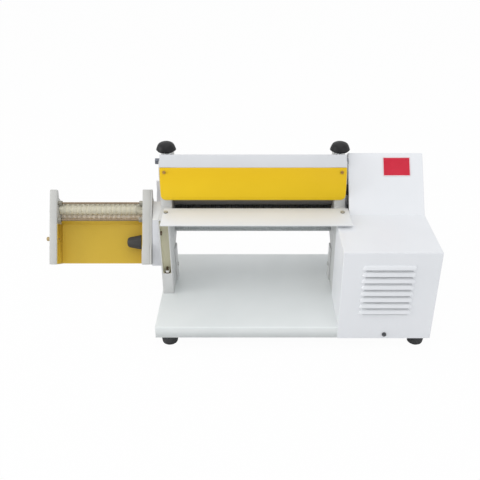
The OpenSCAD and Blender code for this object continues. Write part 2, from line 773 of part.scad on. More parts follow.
// Rollers
module lower_roller() color(steel) difference() {
  union() {
    bar_x(roller_x, roller_len, lower_axis, roller_d);
    bar_x(socket_x, lower_end_x - socket_x, lower_axis, journal_d);
  }
  along_x(socket_x - 1, tongue_len + 1) translate(lower_axis - [journal_d, tongue_w / 2])
    square([2 * journal_d, tongue_w]);
}
module upper_roller() color(steel) {
  bar_x(roller_x, roller_len, upper_axis, roller_d);
  bar_x(frame_x, upper_end_x - frame_x, upper_axis, journal_d);
}
module lower_roll_gear() color(dark_steel)
  gear_x(roll_gear_x, gear_w, lower_axis, roll_gear_m, roll_teeth, 90, journal_d);
module upper_roll_gear() color(dark_steel)
  gear_x(roll_gear_x, gear_w, upper_axis, roll_gear_m, roll_teeth, 270 + 180 / roll_teeth, journal_d);
module main_gear() color(dark_steel)
  gear_x(main_gear_x, gear_w, lower_axis, drive_m, main_teeth, lay_turn, journal_d);

// Drive
module pinion() color(dark_steel)
  gear_x(main_gear_x - 1, gear_w + 2, lay_axis, drive_m, pinion_teeth,
    lay_turn + 180 + 180 / pinion_teeth, lay_d);
module layshaft() color(steel)
  bar_x(main_gear_x - 1, far_ear_x + ear_t + 2 - main_gear_x + 1, lay_axis, lay_d);
module grooved_pulley(p, pitch_d, bore) {
  along_x(pulley_x, pulley_w) translate(p) difference() {
    circle(d = pitch_d - belt_t - 2 * loose_fit);
    circle(d = bore + 2 * seat_fit);
  }
  rim_w = (pulley_w - belt_w) / 2 - loose_fit;
  for (x = [pulley_x, pulley_x + pulley_w - rim_w]) along_x(x, rim_w) translate(p) difference() {
    circle(d = pitch_d + belt_t);
    circle(d = bore + 2 * seat_fit);
  }
}
module driven_pulley() color(dark_steel) grooved_pulley(lay_axis, pulley_d, lay_d);
module motor_pulley() color(dark_steel) grooved_pulley(motor_axis, motor_pulley_d, motor_shaft_d);
module belt_loop(offset_d) {
  hull() {
    translate(lay_axis) circle(d = pulley_d + offset_d);
    translate(motor_axis) circle(d = motor_pulley_d + offset_d);
  }
}
module drive_belt() color(black_plastic) along_x(belt_x, belt_w) difference() {
  belt_loop(belt_t - 0.5);
  belt_loop(-belt_t);
}
stand_foot_t = 5;
stand_foot_y = 44;
module layshaft_stand() color(dark_steel) {
  slab([ear_x, lay_axis[0] - stand_foot_y / 2, 0],
    [far_ear_x + ear_t, lay_axis[0] + stand_foot_y / 2, stand_foot_t]);
  for (x = [ear_x, far_ear_x]) along_x(x, ear_t) difference() {
    union() {
      translate(lay_axis) circle(d = 2 * lay_d + 4);
      translate([lay_axis[0] - lay_d - 2, 0]) square([2 * lay_d + 4, lay_axis[1]]);
    }
    translate(lay_axis) circle(d = lay_d + 2 * run_fit);
  }
}
motor_bell = 8;
module motor_body() color(dark_steel) difference() {
  union() {
    bar_x(motor_x, motor_bell, motor_axis, motor_d - 8);
    bar_x(motor_x + motor_bell, motor_len - 2 * motor_bell, motor_axis, motor_d);
    bar_x(motor_x + motor_len - motor_bell, motor_bell, motor_axis, motor_d - 8);
  }
  bar_x(motor_x - 1, motor_len / 2 + 1, motor_axis, motor_shaft_d + 2 * run_fit);
}
module motor_cradle() color(paint_white) along_x(motor_x + motor_bell + 2, motor_len - 2 * motor_bell - 4)
  difference() {
    translate([motor_axis[0] - motor_d * 0.42, 0]) square([motor_d * 0.84, motor_axis[1] - motor_d * 0.22]);
    translate(motor_axis) circle(d = motor_d + 2 * slide_fit);
  }
module motor_shaft() color(steel)
  bar_x(pulley_x, motor_x + motor_len / 2 - loose_fit - pulley_x, motor_axis, motor_shaft_d);
module run_capacitor() color(black_plastic) translate([cap_pos[0], cap_pos[1], 0]) {
  cylinder(d = cap_d, h = cap_len);
  translate([0, 0, cap_len]) cylinder(d = cap_d - 8, h = 4);
}

// Motor cover: lower front box joined to the taller rear part, open below
// Its left side opens towards the roller frame, just inside the slope
slope_dir = edge_dir([box_d, box_h], [ridge_y, ridge_z]);
function in_slope(z) = let (p = [box_d, box_h] + side_rim * [slope_dir[1], -slope_dir[0]])
  p + slope_dir * (z - p[1]) / slope_dir[1];
side_opening = [[cover_front_d + side_rim, side_open_low], [cover_front_d + side_rim, box_h - side_rim],
  in_slope(box_h - side_rim), in_slope(side_open_top), [ridge_y + ridge_flat, side_open_top],
  [side_open_rear, rear_edge_z - side_rim], [side_open_rear, side_open_low]];
module cover_hull(d, low) {
  along_x(cover_x + d, cover_mid_x - cover_x + d)
    polygon([[d, low], [d, box_h - d], [cover_front_d - d, box_h - d], [cover_front_d - d, low]]);
  along_x(cover_mid_x + d, cover_w - 2 * d) polygon(inset(cover_profile, d));
}
module louvre(z) {
  translate([0, 0, z]) along_x(louvre_x, louvre_w)
    polygon([[0.5, louvre_h + 1], [-louvre_out, 1], [-louvre_out, 0], [-louvre_out + louvre_sheet, 0],
      [0.5, louvre_h - louvre_sheet]]);
  for (x = [louvre_x, louvre_x + louvre_w - louvre_sheet]) translate([0, 0, z]) along_x(x, louvre_sheet)
    polygon([[0.5, 0], [0.5, louvre_h + 1], [-louvre_out, 1], [-louvre_out, 0]]);
}
module motor_cover() color(paint_white) {
  difference() {
    cover_hull(0, -base_h);
    difference() {
      cover_hull(sheet, -base_h);
      slab([0, base_d - 2 * sheet, -base_h - 2], [base_w, base_d, ridge_z]);
    }
    slab([-1, sheet, -base_h - 1], [base_w - sheet, base_d - sheet, 0]);
    slab([cover_mid_x + panel_rim, base_d - 3 * sheet, panel_low],
      [base_w - panel_rim, base_d + 1, rear_edge_z - panel_rim]);
    along_x(cover_mid_x - 1, sheet + 2) polygon(side_opening);
    for (i = [0:louvre_n - 1]) translate([0, 0, louvre_low + i * louvre_pitch])
      slab([louvre_x + louvre_end, -1, -louvre_drop],
        [louvre_x + louvre_w - louvre_end, sheet + 1, louvre_h - 2.5]);
    cover_screw_spots() translate([0, 0, -sheet - 1])
      cylinder(d = cover_screw_d + 2 * loose_fit, h = sheet + 2);
    switch_hole();
    panel_screw_spots() translate([0, 0, -3 * sheet])
      cylinder(d = cover_screw_d + 2 * thread_gap, h = 4 * sheet);
  }
  for (i = [0:louvre_n - 1]) louvre(louvre_low + i * louvre_pitch);
}
module cover_screws() color(dark_steel) cover_screw_spots() pan_screw(cover_screw_d, 8);
module switch_hole() {
  slab([base_w - sheet - 1, switch_pos[0] - switch_w / 2, switch_pos[1] - switch_tall / 2],
    [base_w + 1, switch_pos[0] + switch_w / 2, switch_pos[1] + switch_tall / 2]);
}
module panel_screw_spots() {
  x_in = panel_rim - panel_lap + panel_screw_in;
  for (x = [cover_mid_x + x_in, base_w - x_in])
    for (z = [panel_low - panel_lap + panel_screw_in, rear_edge_z - x_in])
      translate([x, base_d + sheet, z]) facing_rear() children();
}
module rear_panel() color(paint_white) difference() {
  slab([cover_mid_x + panel_rim - panel_lap, base_d, panel_low - panel_lap],
    [base_w - panel_rim + panel_lap, base_d + sheet, rear_edge_z - panel_rim + panel_lap]);
  for (i = [0:vent_n - 1]) slab([cover_mid_x + 2 * panel_rim + 6, base_d - 1, vent_z + i * vent_pitch],
    [base_w - 2 * panel_rim - 6, base_d + sheet + 1, vent_z + i * vent_pitch + vent_h]);
  translate([gland_pos[0], base_d - 1, gland_pos[1]]) facing_rear()
    cylinder(d = gland_d - 4 + 2 * slide_fit, h = sheet + 2);
  panel_screw_spots() translate([0, 0, -sheet - 1])
    cylinder(d = cover_screw_d + 2 * thread_gap, h = sheet + 2);
}
module panel_screws() color(dark_steel) panel_screw_spots() pan_screw(cover_screw_d, 2 * sheet + 2);
module cord_gland() color(black_plastic) translate([gland_pos[0], base_d + sheet, gland_pos[1]]) facing_rear()
  difference() {
    union() {
      cylinder(d = gland_d + 2, h = 4, $fn = 6);
      cylinder(d = gland_d - 4, h = gland_out);
      translate([0, 0, -sheet - 8]) cylinder(d = gland_d - 4, h = sheet + 8);
      translate([0, 0, -sheet - 5]) cylinder(d = gland_d + 2, h = 5, $fn = 6);
    }
    translate([0, 0, -sheet - 9]) cylinder(d = gland_bore, h = gland_out + sheet + 10);
  }
module badge_plate() color(badge_red) translate([badge_x, box_d, box_h]) rotate([slope_angle, 0, 0])
  translate([0, badge_along, 0]) cube([badge_w, badge_h, badge_t]);

// Rocker switch in the right wall
switch_wall = 2;
rocker_w = switch_w - 2 * switch_wall - 2 * loose_fit;
rocker_tall = switch_tall - 2 * switch_wall - 2 * loose_fit;
rocker_pin_d = 4;
rocker_pin_x = base_w - 4;
module switch_body() color(black_plastic) difference() {
  union() {
    slab([base_w - switch_deep, switch_pos[0] - switch_w / 2, switch_pos[1] - switch_tall / 2],
      [base_w, switch_pos[0] + switch_w / 2, switch_pos[1] + switch_tall / 2]);
    slab([base_w, switch_pos[0] - switch_w / 2 - bezel, switch_pos[1] - switch_tall / 2 - bezel],
      [base_w + bezel_t, switch_pos[0] + switch_w / 2 + bezel, switch_pos[1] + switch_tall / 2 + bezel]);
  }
  slab([base_w - switch_deep + switch_wall, switch_pos[0] - switch_w / 2 + switch_wall,
    switch_pos[1] - switch_tall / 2 + switch_wall],
    [base_w + bezel_t + 1, switch_pos[0] + switch_w / 2 - switch_wall,
    switch_pos[1] + switch_tall / 2 - switch_wall]);
  translate([rocker_pin_x, switch_pos[0], switch_pos[1]]) facing_front()
    cylinder(d = rocker_pin_d + 2 * run_fit, h = switch_w - switch_wall, center = true);
}
// The rocker's top edge stands out and its lower edge lies in: the off position
module switch_rocker() color(black_plastic) translate([rocker_pin_x, switch_pos[0], switch_pos[1]])
  facing_front() {
    proud = base_w + bezel_t + rocker_proud - rocker_pin_x;
    linear_extrude(rocker_w, center = true) polygon([[-3, -4], [proud - 5, -rocker_tall / 2 + 1],
      [proud - 3.2, 0], [proud, rocker_tall / 2 - 3.2], [proud - 4, rocker_tall / 2 - 2], [-3, 4]]);
    cylinder(d = rocker_pin_d, h = switch_w - switch_wall - 2 * run_fit, center = true);
  }

// Coupling cover on the left cheek, which the cutter docks against
module coupling_cover() color(paint_white) difference() {
  union() {
    along_x(coupling_x, coupling_t) polygon(coupling_profile);
    along_x(frame_x - tower_t, tower_t) polygon(tower_profile);
  }
  along_x(coupling_x + coupling_wall, coupling_t) polygon(inset(coupling_profile, coupling_wall));
  along_x(frame_x - tower_t + coupling_wall, tower_t) polygon(inset(tower_profile, coupling_wall));
  bar_x(coupling_x - 1, coupling_wall + 2, lower_axis, journal_d + 6);
  bar_x(coupling_x - 1, coupling_wall + 2, lock_pos, lock_stud_d + 2 * loose_fit);
}

// Noodle cutter
module cutter_bores(x, len, d) {
  bar_x(x, len, lower_axis, d);
  bar_x(x, len, front_cut_axis, d);
}
module cutter_end_plate() color(paint_white) difference() {
  along_x(plate_x, end_plate_t) polygon(cut_profile);
  cutter_bores(plate_x + 3, end_plate_t, cut_shaft_d + 2 * run_fit);
  for (p = [rod_up, rod_low])
    bar_x(plate_x + end_plate_t - rod_seat, rod_seat + 1, p, rod_d + 2 * thread_gap);
  bar_x(plate_x - 1, end_plate_t + 2, chute_pos, rod_d + 2 * thread_gap);
}
gear_room = cut_gear_m * (cut_teeth + 2) + 1;
module cutter_gear_case() color(paint_white) difference() {
  along_x(case_x, case_t - lid_t) polygon(case_profile);
  cutter_bores(case_x - 1, case_t, cut_shaft_d + 2 * run_fit);
  cutter_bores(cut_gear_x - 1, case_t, gear_room);
  for (p = [rod_up, rod_low]) bar_x(case_x - 1, rod_seat + 1, p, rod_d + 2 * thread_gap);
  bar_x(case_x - 1, case_t + 2, lock_pos, lock_stud_d + 2 * loose_fit);
}
module cutter_case_lid() color(paint_white) difference() {
  along_x(case_x + case_t - lid_t, lid_t) polygon(case_profile);
  bar_x(case_x, case_t + 1, lower_axis, cut_shaft_d + 2 * run_fit);
  bar_x(case_x, case_t + 1, lock_pos, lock_stud_d + 2 * loose_fit);
}
rod_span = cut_len + 2 * side_gap;
module cutter_rods() color(steel) for (p = [rod_up, rod_low])
  bar_x(plate_x + end_plate_t - rod_seat, rod_span + 2 * rod_seat, p, rod_d);
module rod_nuts() color(steel) for (p = [rod_up, rod_low])
  for (x = [plate_x + end_plate_t, case_x - rod_nut_t]) difference() {
    translate([x, p[0], p[1]]) facing_right() cylinder(d = rod_nut_d, h = rod_nut_t, $fn = 6);
    bar_x(x - 1, rod_nut_t + 2, p, rod_d + 2 * seat_fit);
  }
// Turned roll with square grooves; shift sets which discs face the other roll's grooves
module cutting_roll(p, n, shift, shaft_x, shaft_end) {
  groove_d = cut_disc_d - 2 * cut_groove;
  bar_x(shaft_x, shaft_end - shaft_x, p, cut_shaft_d);
  bar_x(cut_x, cut_len, p, groove_d);
  for (i = [0:n - 1])
    bar_x(cut_x + cut_margin + shift + i * cut_pitch, cut_disc_w, p, cut_disc_d);
}
cut_shaft_x = plate_x + 4;
tongue_gap = 0.4;
module rear_cutting_roll() color(steel) {
  cutting_roll(lower_axis, cut_discs, 0, cut_shaft_x, socket_x - tongue_gap);
  along_x(socket_x - tongue_gap - 0.5, tongue_len) translate(lower_axis) intersection() {
    square([2 * cut_shaft_d, tongue_w - 2 * tongue_gap], center = true);
    circle(d = cut_shaft_d);
  }
}
module front_cutting_roll() color(steel)
  cutting_roll(front_cut_axis, cut_discs - 1, cut_pitch / 2, cut_shaft_x,
    case_x + case_t - lid_t - side_gap);
module rear_cutting_gear() color(dark_steel)
  gear_x(cut_gear_x, cut_gear_w, lower_axis, cut_gear_m, cut_teeth, cut_angle, cut_shaft_d);
module front_cutting_gear() color(dark_steel)
  gear_x(cut_gear_x, cut_gear_w, front_cut_axis, cut_gear_m, cut_teeth,
    cut_angle + 180 + 180 / cut_teeth, cut_shaft_d);
// Sloping yellow chute with a flange against each end and a lip bent forward under the rolls
lip_tip = [chute_high, chute_back] + chute_lip;
lip_back = lip_tip + chute_t * [sin(chute_bend), cos(chute_bend)];
module noodle_chute() color(paint_yellow) difference() {
  union() {
    along_x(cut_x - side_gap, rod_span) polygon([lean_at(chute_low, chute_back),
      lean_at(chute_high, chute_back), lean_at(lip_tip[0], lip_tip[1]), lean_at(lip_back[0], lip_back[1]),
      lean_at(chute_high + chute_t * tan(chute_bend / 2), chute_back + chute_t),
      lean_at(chute_low, chute_back + chute_t)]);
    for (x = [cut_x - side_gap, case_x - chute_t]) along_x(x, chute_t)
      polygon([lean_at(chute_low, chute_front), lean_at(chute_high, chute_front),
        lean_at(chute_high, chute_back + chute_t), lean_at(chute_low, chute_back + chute_t)]);
  }
  bar_x(cut_x - 2, 4, chute_pos, rod_d + 2 * thread_gap);
  bar_x(case_x - 3, 4, lock_pos, lock_stud_d + 2 * loose_fit);
}
module chute_screw() color(steel) translate([plate_x, chute_pos[0], chute_pos[1]]) {
  facing_left() intersection() {
    cylinder(d = 2 * rod_d, h = cap_h);
    translate([0, 0, cap_h - 1.3 * rod_d]) sphere(d = 2.6 * rod_d);
  }
  facing_right() cylinder(d = rod_d, h = end_plate_t + chute_t + 2);
}
module lock_stud() color(steel)
  bar_x(case_x - chute_t - 12, frame_x + lock_seat - case_x + chute_t + 12, lock_pos, lock_stud_d);
// Eight-sided tapered grip, wide end against the chute
module lock_knob() color(black_plastic) translate([case_x - chute_t - loose_fit, lock_pos[0], lock_pos[1]])
  facing_left() difference() {
    union() {
      cylinder(d = lock_d, h = 5, $fn = 8);
      translate([0, 0, 5]) cylinder(d1 = lock_d, d2 = 0.72 * lock_d, h = lock_len - 8, $fn = 8);
      translate([0, 0, lock_len - 3]) cylinder(d1 = 0.72 * lock_d, d2 = 0.5 * lock_d, h = 3, $fn = 8);
    }
    translate([0, 0, -1]) cylinder(d = lock_stud_d + 2 * run_fit, h = 13);
  }

place() base_plate();
place() rubber_feet();
place() left_upright();
place() right_upright();
place() left_cheek();
place() right_cheek();
place() frame_brackets();
place() frame_screws();
place() tie_bar();
place() tie_bolts();
place() top_beam();
place() roller_guard();
place() guard_screws();
place() feed_tray();
place() tray_screws();
place() lower_bushes();
place() adjuster_nuts();
place() motor_cover();
place() cover_screws();
place() rear_panel();
place() panel_screws();
place() badge_plate();
place() cord_gland();
place() switch_body();
place() switch_rocker();
place() motor_body();
place() motor_cradle();
place() run_capacitor();
place() drive_belt();
place() layshaft_stand();
place() coupling_cover();
place() bearing_blocks();
place() left_screw();
place() left_knob();
place() right_screw();
place() right_knob();
place() lower_roller();
place() lower_roll_gear();
place() main_gear();
place() upper_roller();
place() upper_roll_gear();
place() layshaft();
place() pinion();
place() driven_pulley();
place() motor_shaft();
place() motor_pulley();
place() cutter_end_plate();
place() cutter_gear_case();
place() cutter_case_lid();
place() cutter_rods();
place() rod_nuts();
place() noodle_chute();
place() chute_screw();
place() rear_cutting_roll();
place() rear_cutting_gear();
place() front_cutting_roll();
place() front_cutting_gear();
place() lock_stud();
place() lock_knob();
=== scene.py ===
import bpy
import bmesh
from math import radians, sin, cos, pi, atan2, sqrt
from mathutils import Vector, Matrix


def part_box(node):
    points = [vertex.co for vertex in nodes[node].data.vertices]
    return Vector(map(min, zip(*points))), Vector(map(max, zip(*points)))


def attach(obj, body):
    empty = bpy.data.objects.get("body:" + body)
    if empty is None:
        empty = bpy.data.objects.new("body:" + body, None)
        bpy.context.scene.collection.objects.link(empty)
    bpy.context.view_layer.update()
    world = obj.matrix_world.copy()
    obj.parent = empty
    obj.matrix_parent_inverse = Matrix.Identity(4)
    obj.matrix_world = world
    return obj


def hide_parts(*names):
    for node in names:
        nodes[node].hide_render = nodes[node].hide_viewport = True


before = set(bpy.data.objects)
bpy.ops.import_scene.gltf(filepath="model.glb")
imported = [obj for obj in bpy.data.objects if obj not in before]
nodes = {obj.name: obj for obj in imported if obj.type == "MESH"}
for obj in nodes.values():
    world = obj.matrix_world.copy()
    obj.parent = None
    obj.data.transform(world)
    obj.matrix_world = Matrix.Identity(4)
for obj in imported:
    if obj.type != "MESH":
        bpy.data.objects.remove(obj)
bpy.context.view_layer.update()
print("frame loaded:", len(nodes), "nodes")

# Shop drawing millimetres: x from the base's left end, y from its front edge, z from its top
zeroPoint = Vector((-134.0, -131.75, 43.5))


def at(x, y, z):
    return (Vector((x, y, z)) + zeroPoint) / 1000


def mm(value):
    return value / 1000


# Camera, floor and light

cameraSetup = {
    "spot": (170, -893, 680), "pitch": 29.6, "lens": 48.15, "sensor": 36,
    "shiftX": -0.026, "shiftY": 0.0029, "reach": 20,
}


def makeCamera(setup):
    data = bpy.data.cameras.new("photoCamera")
    data.lens = setup["lens"]
    data.sensor_width = setup["sensor"]
    data.shift_x = setup["shiftX"]
    data.shift_y = setup["shiftY"]
    data.clip_end = setup["reach"]
    camera = bpy.data.objects.new("photoCamera", data)
    bpy.context.scene.collection.objects.link(camera)
    camera.location = at(*setup["spot"])
    camera.rotation_euler = (radians(90 - setup["pitch"]), 0, 0)
    bpy.context.scene.camera = camera


makeCamera(cameraSetup)
bpy.context.scene.view_settings.view_transform = "Standard"

studio = {
    "side": {"spot": (-1.9, -0.5, 0.7), "size": 1.2, "power": 12.2, "tint": (1.0, 0.995, 0.985)},
    "fore": {"spot": (0.1, -0.9, 1.8), "size": 1.6, "power": 5.4, "tint": (1.0, 1.0, 1.0)},
    "fill": {"spot": (1.4, -1.6, 0.75), "size": 1.4, "power": 3.4, "tint": (0.975, 0.987, 1.0)},
    "top": {"spot": (0.1, 0.2, 2.0), "size": 1.8, "power": 5.0, "tint": (1.0, 1.0, 1.0)},
    "back": {"spot": (-0.3, 1.7, 1.3), "size": 1.2, "power": 1.0, "tint": (1.0, 1.0, 1.0)},
    "aimHeight": 0.12, "skyTint": (0.96, 0.975, 1.0), "skyStrength": 0.68,
    "floorRadius": 6, "floorGrey": 0.86, "floorSeen": 0.97,
}


def makeStudio(setup):
    for name in ("side", "fore", "fill", "top", "back"):
        info = setup[name]
        lamp = bpy.data.lights.new(name + "Lamp", "AREA")
        lamp.shape = "DISK"
        lamp.size = info["size"]
        lamp.energy = info["power"]
        lamp.color = info["tint"]
        holder = bpy.data.objects.new(name + "Lamp", lamp)
        bpy.context.scene.collection.objects.link(holder)
        holder.location = info["spot"]
        aim = Vector((0, 0, setup["aimHeight"])) - holder.location
        holder.rotation_euler = aim.to_track_quat("-Z", "Y").to_euler()
    world = bpy.data.worlds.new("paleStudio")
    bpy.context.scene.world = world
    world.use_nodes = True
    tree = world.node_tree
    tree.nodes.clear()
    out = tree.nodes.new("ShaderNodeOutputWorld")
    seen = tree.nodes.new("ShaderNodeBackground")
    sky = tree.nodes.new("ShaderNodeBackground")
    sky.inputs["Color"].default_value = (*setup["skyTint"], 1)
    sky.inputs["Strength"].default_value = setup["skyStrength"]
    seen.inputs["Color"].default_value = (1, 1, 1, 1)
    seen.inputs["Strength"].default_value = 1.0
    path = tree.nodes.new("ShaderNodeLightPath")
    anyRay = tree.nodes.new("ShaderNodeMath")
    anyRay.operation = "MAXIMUM"
    withGlass = tree.nodes.new("ShaderNodeMath")
    withGlass.operation = "MAXIMUM"
    mix = tree.nodes.new("ShaderNodeMixShader")
    tree.links.new(path.outputs["Is Camera Ray"], anyRay.inputs[0])
    tree.links.new(path.outputs["Is Glossy Ray"], anyRay.inputs[1])
    tree.links.new(anyRay.outputs[0], withGlass.inputs[0])
    tree.links.new(path.outputs["Is Transmission Ray"], withGlass.inputs[1])
    tree.links.new(withGlass.outputs[0], mix.inputs["Fac"])
    tree.links.new(sky.outputs[0], mix.inputs[1])
    tree.links.new(seen.outputs[0], mix.inputs[2])
    tree.links.new(mix.outputs[0], out.inputs["Surface"])


def makeFloor(setup):
    bm = bmesh.new()
    bmesh.ops.create_circle(bm, cap_ends=True, segments=64, radius=setup["floorRadius"])
    mesh = bpy.data.meshes.new("paleFloor")
    bm.to_mesh(mesh)
    bm.free()
    floor = bpy.data.objects.new("paleFloor", mesh)
    bpy.context.scene.collection.objects.link(floor)
    paper = bpy.data.materials.new("palePaper")
    paper.use_nodes = True
    tree = paper.node_tree
    tree.nodes.clear()
    out = tree.nodes.new("ShaderNodeOutputMaterial")
    matt = tree.nodes.new("ShaderNodeBsdfDiffuse")
    grey = setup["floorGrey"]
    matt.inputs["Color"].default_value = (grey, grey, grey, 1)
    glow = tree.nodes.new("ShaderNodeEmission")
    glow.inputs["Color"].default_value = (1, 1, 1, 1)
    glow.inputs["Strength"].default_value = 1.0
    path = tree.nodes.new("ShaderNodeLightPath")
    share = tree.nodes.new("ShaderNodeMath")
    share.operation = "MULTIPLY"
    share.inputs[1].default_value = setup["floorSeen"]
    mix = tree.nodes.new("ShaderNodeMixShader")
    tree.links.new(path.outputs["Is Camera Ray"], share.inputs[0])
    tree.links.new(share.outputs[0], mix.inputs["Fac"])
    tree.links.new(matt.outputs[0], mix.inputs[1])
    tree.links.new(glow.outputs[0], mix.inputs[2])
    # Clear from below, so that the underside can be looked at
    side = tree.nodes.new("ShaderNodeNewGeometry")
    clear = tree.nodes.new("ShaderNodeBsdfTransparent")
    veil = tree.nodes.new("ShaderNodeMixShader")
    tree.links.new(side.outputs["Backfacing"], veil.inputs["Fac"])
    tree.links.new(mix.outputs[0], veil.inputs[1])
    tree.links.new(clear.outputs[0], veil.inputs[2])
    tree.links.new(veil.outputs[0], out.inputs["Surface"])
    floor.data.materials.append(paper)


makeStudio(studio)
makeFloor(studio)
print("camera, floor and lights set")


# Finishes, all on Object coordinates

def startMaterial(name):
    material = bpy.data.materials.new(name)
    material.use_nodes = True
    tree = material.node_tree
    return material, tree, tree.nodes["Principled BSDF"]


def grain(tree, scale, detail=3.0, stretch=(1, 1, 1), rough=0.5):
    place = tree.nodes.new("ShaderNodeTexCoord")
    mapping = tree.nodes.new("ShaderNodeMapping")
    mapping.inputs["Scale"].default_value = stretch
    noise = tree.nodes.new("ShaderNodeTexNoise")
    noise.inputs["Scale"].default_value = scale
    noise.inputs["Detail"].default_value = detail
    noise.inputs["Roughness"].default_value = rough
    tree.links.new(place.outputs["Object"], mapping.inputs["Vector"])
    tree.links.new(mapping.outputs["Vector"], noise.inputs["Vector"])
    return noise.outputs["Fac"]


def tintFrom(tree, shader, fac, dark, light, low=0.3, high=0.7):
    ramp = tree.nodes.new("ShaderNodeValToRGB")
    ramp.color_ramp.elements[0].position = low
    ramp.color_ramp.elements[0].color = (*dark, 1)
    ramp.color_ramp.elements[1].position = high
    ramp.color_ramp.elements[1].color = (*light, 1)
    tree.links.new(fac, ramp.inputs["Fac"])
    tree.links.new(ramp.outputs["Color"], shader.inputs["Base Color"])


def paintedHeightLight(tree, fac, zDark, zLight):
    # Painted light: the tone follows height, dark at zDark and light at zLight, lifting the guard's lower part out
    # of its shade; mostly the height between two levels, with a little of the grain left in
    low, high, grainShare = 0.2, 0.6, 0.2
    place = tree.nodes.new("ShaderNodeTexCoord")
    apart = tree.nodes.new("ShaderNodeSeparateXYZ")
    level = tree.nodes.new("ShaderNodeMapRange")
    level.inputs["From Min"].default_value = zDark
    level.inputs["From Max"].default_value = zLight
    level.inputs["To Min"].default_value = low
    level.inputs["To Max"].default_value = high
    small = tree.nodes.new("ShaderNodeMath")
    small.operation = "MULTIPLY_ADD"
    small.inputs[1].default_value = grainShare
    tree.links.new(place.outputs["Object"], apart.inputs["Vector"])
    tree.links.new(apart.outputs["Z"], level.inputs["Value"])
    tree.links.new(fac, small.inputs[0])
    tree.links.new(level.outputs["Result"], small.inputs[2])
    return small.outputs[0]


def roughFrom(tree, shader, fac, low, high):
    spread = tree.nodes.new("ShaderNodeMapRange")
    spread.inputs["From Min"].default_value = 0.3
    spread.inputs["From Max"].default_value = 0.7
    spread.inputs["To Min"].default_value = low
    spread.inputs["To Max"].default_value = high
    tree.links.new(fac, spread.inputs["Value"])
    tree.links.new(spread.outputs["Result"], shader.inputs["Roughness"])


def bumpFrom(tree, shader, fac, strength, distance):
    bump = tree.nodes.new("ShaderNodeBump")
    bump.inputs["Strength"].default_value = strength
    bump.inputs["Distance"].default_value = distance
    tree.links.new(fac, bump.inputs["Height"])
    tree.links.new(bump.outputs["Normal"], shader.inputs["Normal"])


enamels = {
    "whiteEnamel": {"dark": (0.80, 0.815, 0.835), "light": (0.835, 0.845, 0.865), "rough": (0.30, 0.40)},
    "baseEnamel": {"dark": (0.765, 0.795, 0.785), "light": (0.815, 0.84, 0.83), "rough": (0.34, 0.44)},
    "beamEnamel": {"dark": (0.655, 0.665, 0.685), "light": (0.695, 0.705, 0.725), "rough": (0.34, 0.44)},
    "trayEnamel": {"dark": (0.76, 0.77, 0.775), "light": (0.80, 0.81, 0.815), "rough": (0.34, 0.44)},
    "castEnamel": {"dark": (0.665, 0.675, 0.70), "light": (0.71, 0.72, 0.745), "rough": (0.36, 0.46)},
    # Painted highlight: a lighter copy of castEnamel for the coupling cover's upward faces, lit and shaded copies of
    # one paint
    "castLitTop": {"dark": (0.83, 0.825, 0.80), "light": (0.87, 0.865, 0.84), "rough": (0.36, 0.46)},
    "cutterEnamel": {"dark": (0.545, 0.545, 0.52), "light": (0.595, 0.595, 0.57), "rough": (0.38, 0.48)},
    "frameEnamel": {"dark": (0.60, 0.605, 0.595), "light": (0.645, 0.65, 0.64), "rough": (0.36, 0.46)},
    # The guard yellow's drift is painted light: lighter towards the guard's lower edge, against the shade there
    "yellowEnamel": {"dark": (0.80, 0.507, 0.007), "light": (0.92, 0.617, 0.011), "rough": (0.36, 0.46),
                     "shine": 0.25, "drift": (0.268, 0.2145)},
    # Painted shade: a darker copy of the guard's yellow, for the shade the chute sits in
    "chuteShadedYellow": {"dark": (0.60, 0.40, 0.038), "light": (0.65, 0.44, 0.050), "rough": (0.36, 0.46), "shine": 0.3},
    "recessPrimer": {"dark": (0.60, 0.58, 0.44), "light": (0.65, 0.63, 0.485), "rough": (0.50, 0.62)},
    # Painted shade: near-black inside of the cover shell, darkening the louvre slits and the gap beside the cover
    "innerShadeDark": {"dark": (0.055, 0.056, 0.058), "light": (0.075, 0.076, 0.078), "rough": (0.60, 0.75)},
}

sprayCoat = {"tone": (9, 4), "gloss": (26, 3), "peel": (620, 2), "peelStrength": 0.10, "peelDepth": 0.0003}


def enamel(name):
    # Sprayed and baked paint: faint orange peel, slow drift of tone and gloss
    info = enamels[name]
    material, tree, shader = startMaterial(name)
    tone = grain(tree, *sprayCoat["tone"])
    # A drift entry paints light by height on top of the grain
    if "drift" in info:
        tone = paintedHeightLight(tree, tone, *info["drift"])
    tintFrom(tree, shader, tone, info["dark"], info["light"])
    roughFrom(tree, shader, grain(tree, *sprayCoat["gloss"]), *info["rough"])
    bumpFrom(tree, shader, grain(tree, *sprayCoat["peel"]), sprayCoat["peelStrength"], sprayCoat["peelDepth"])
    shader.inputs["Specular IOR Level"].default_value = info.get("shine", 0.5)
    return material


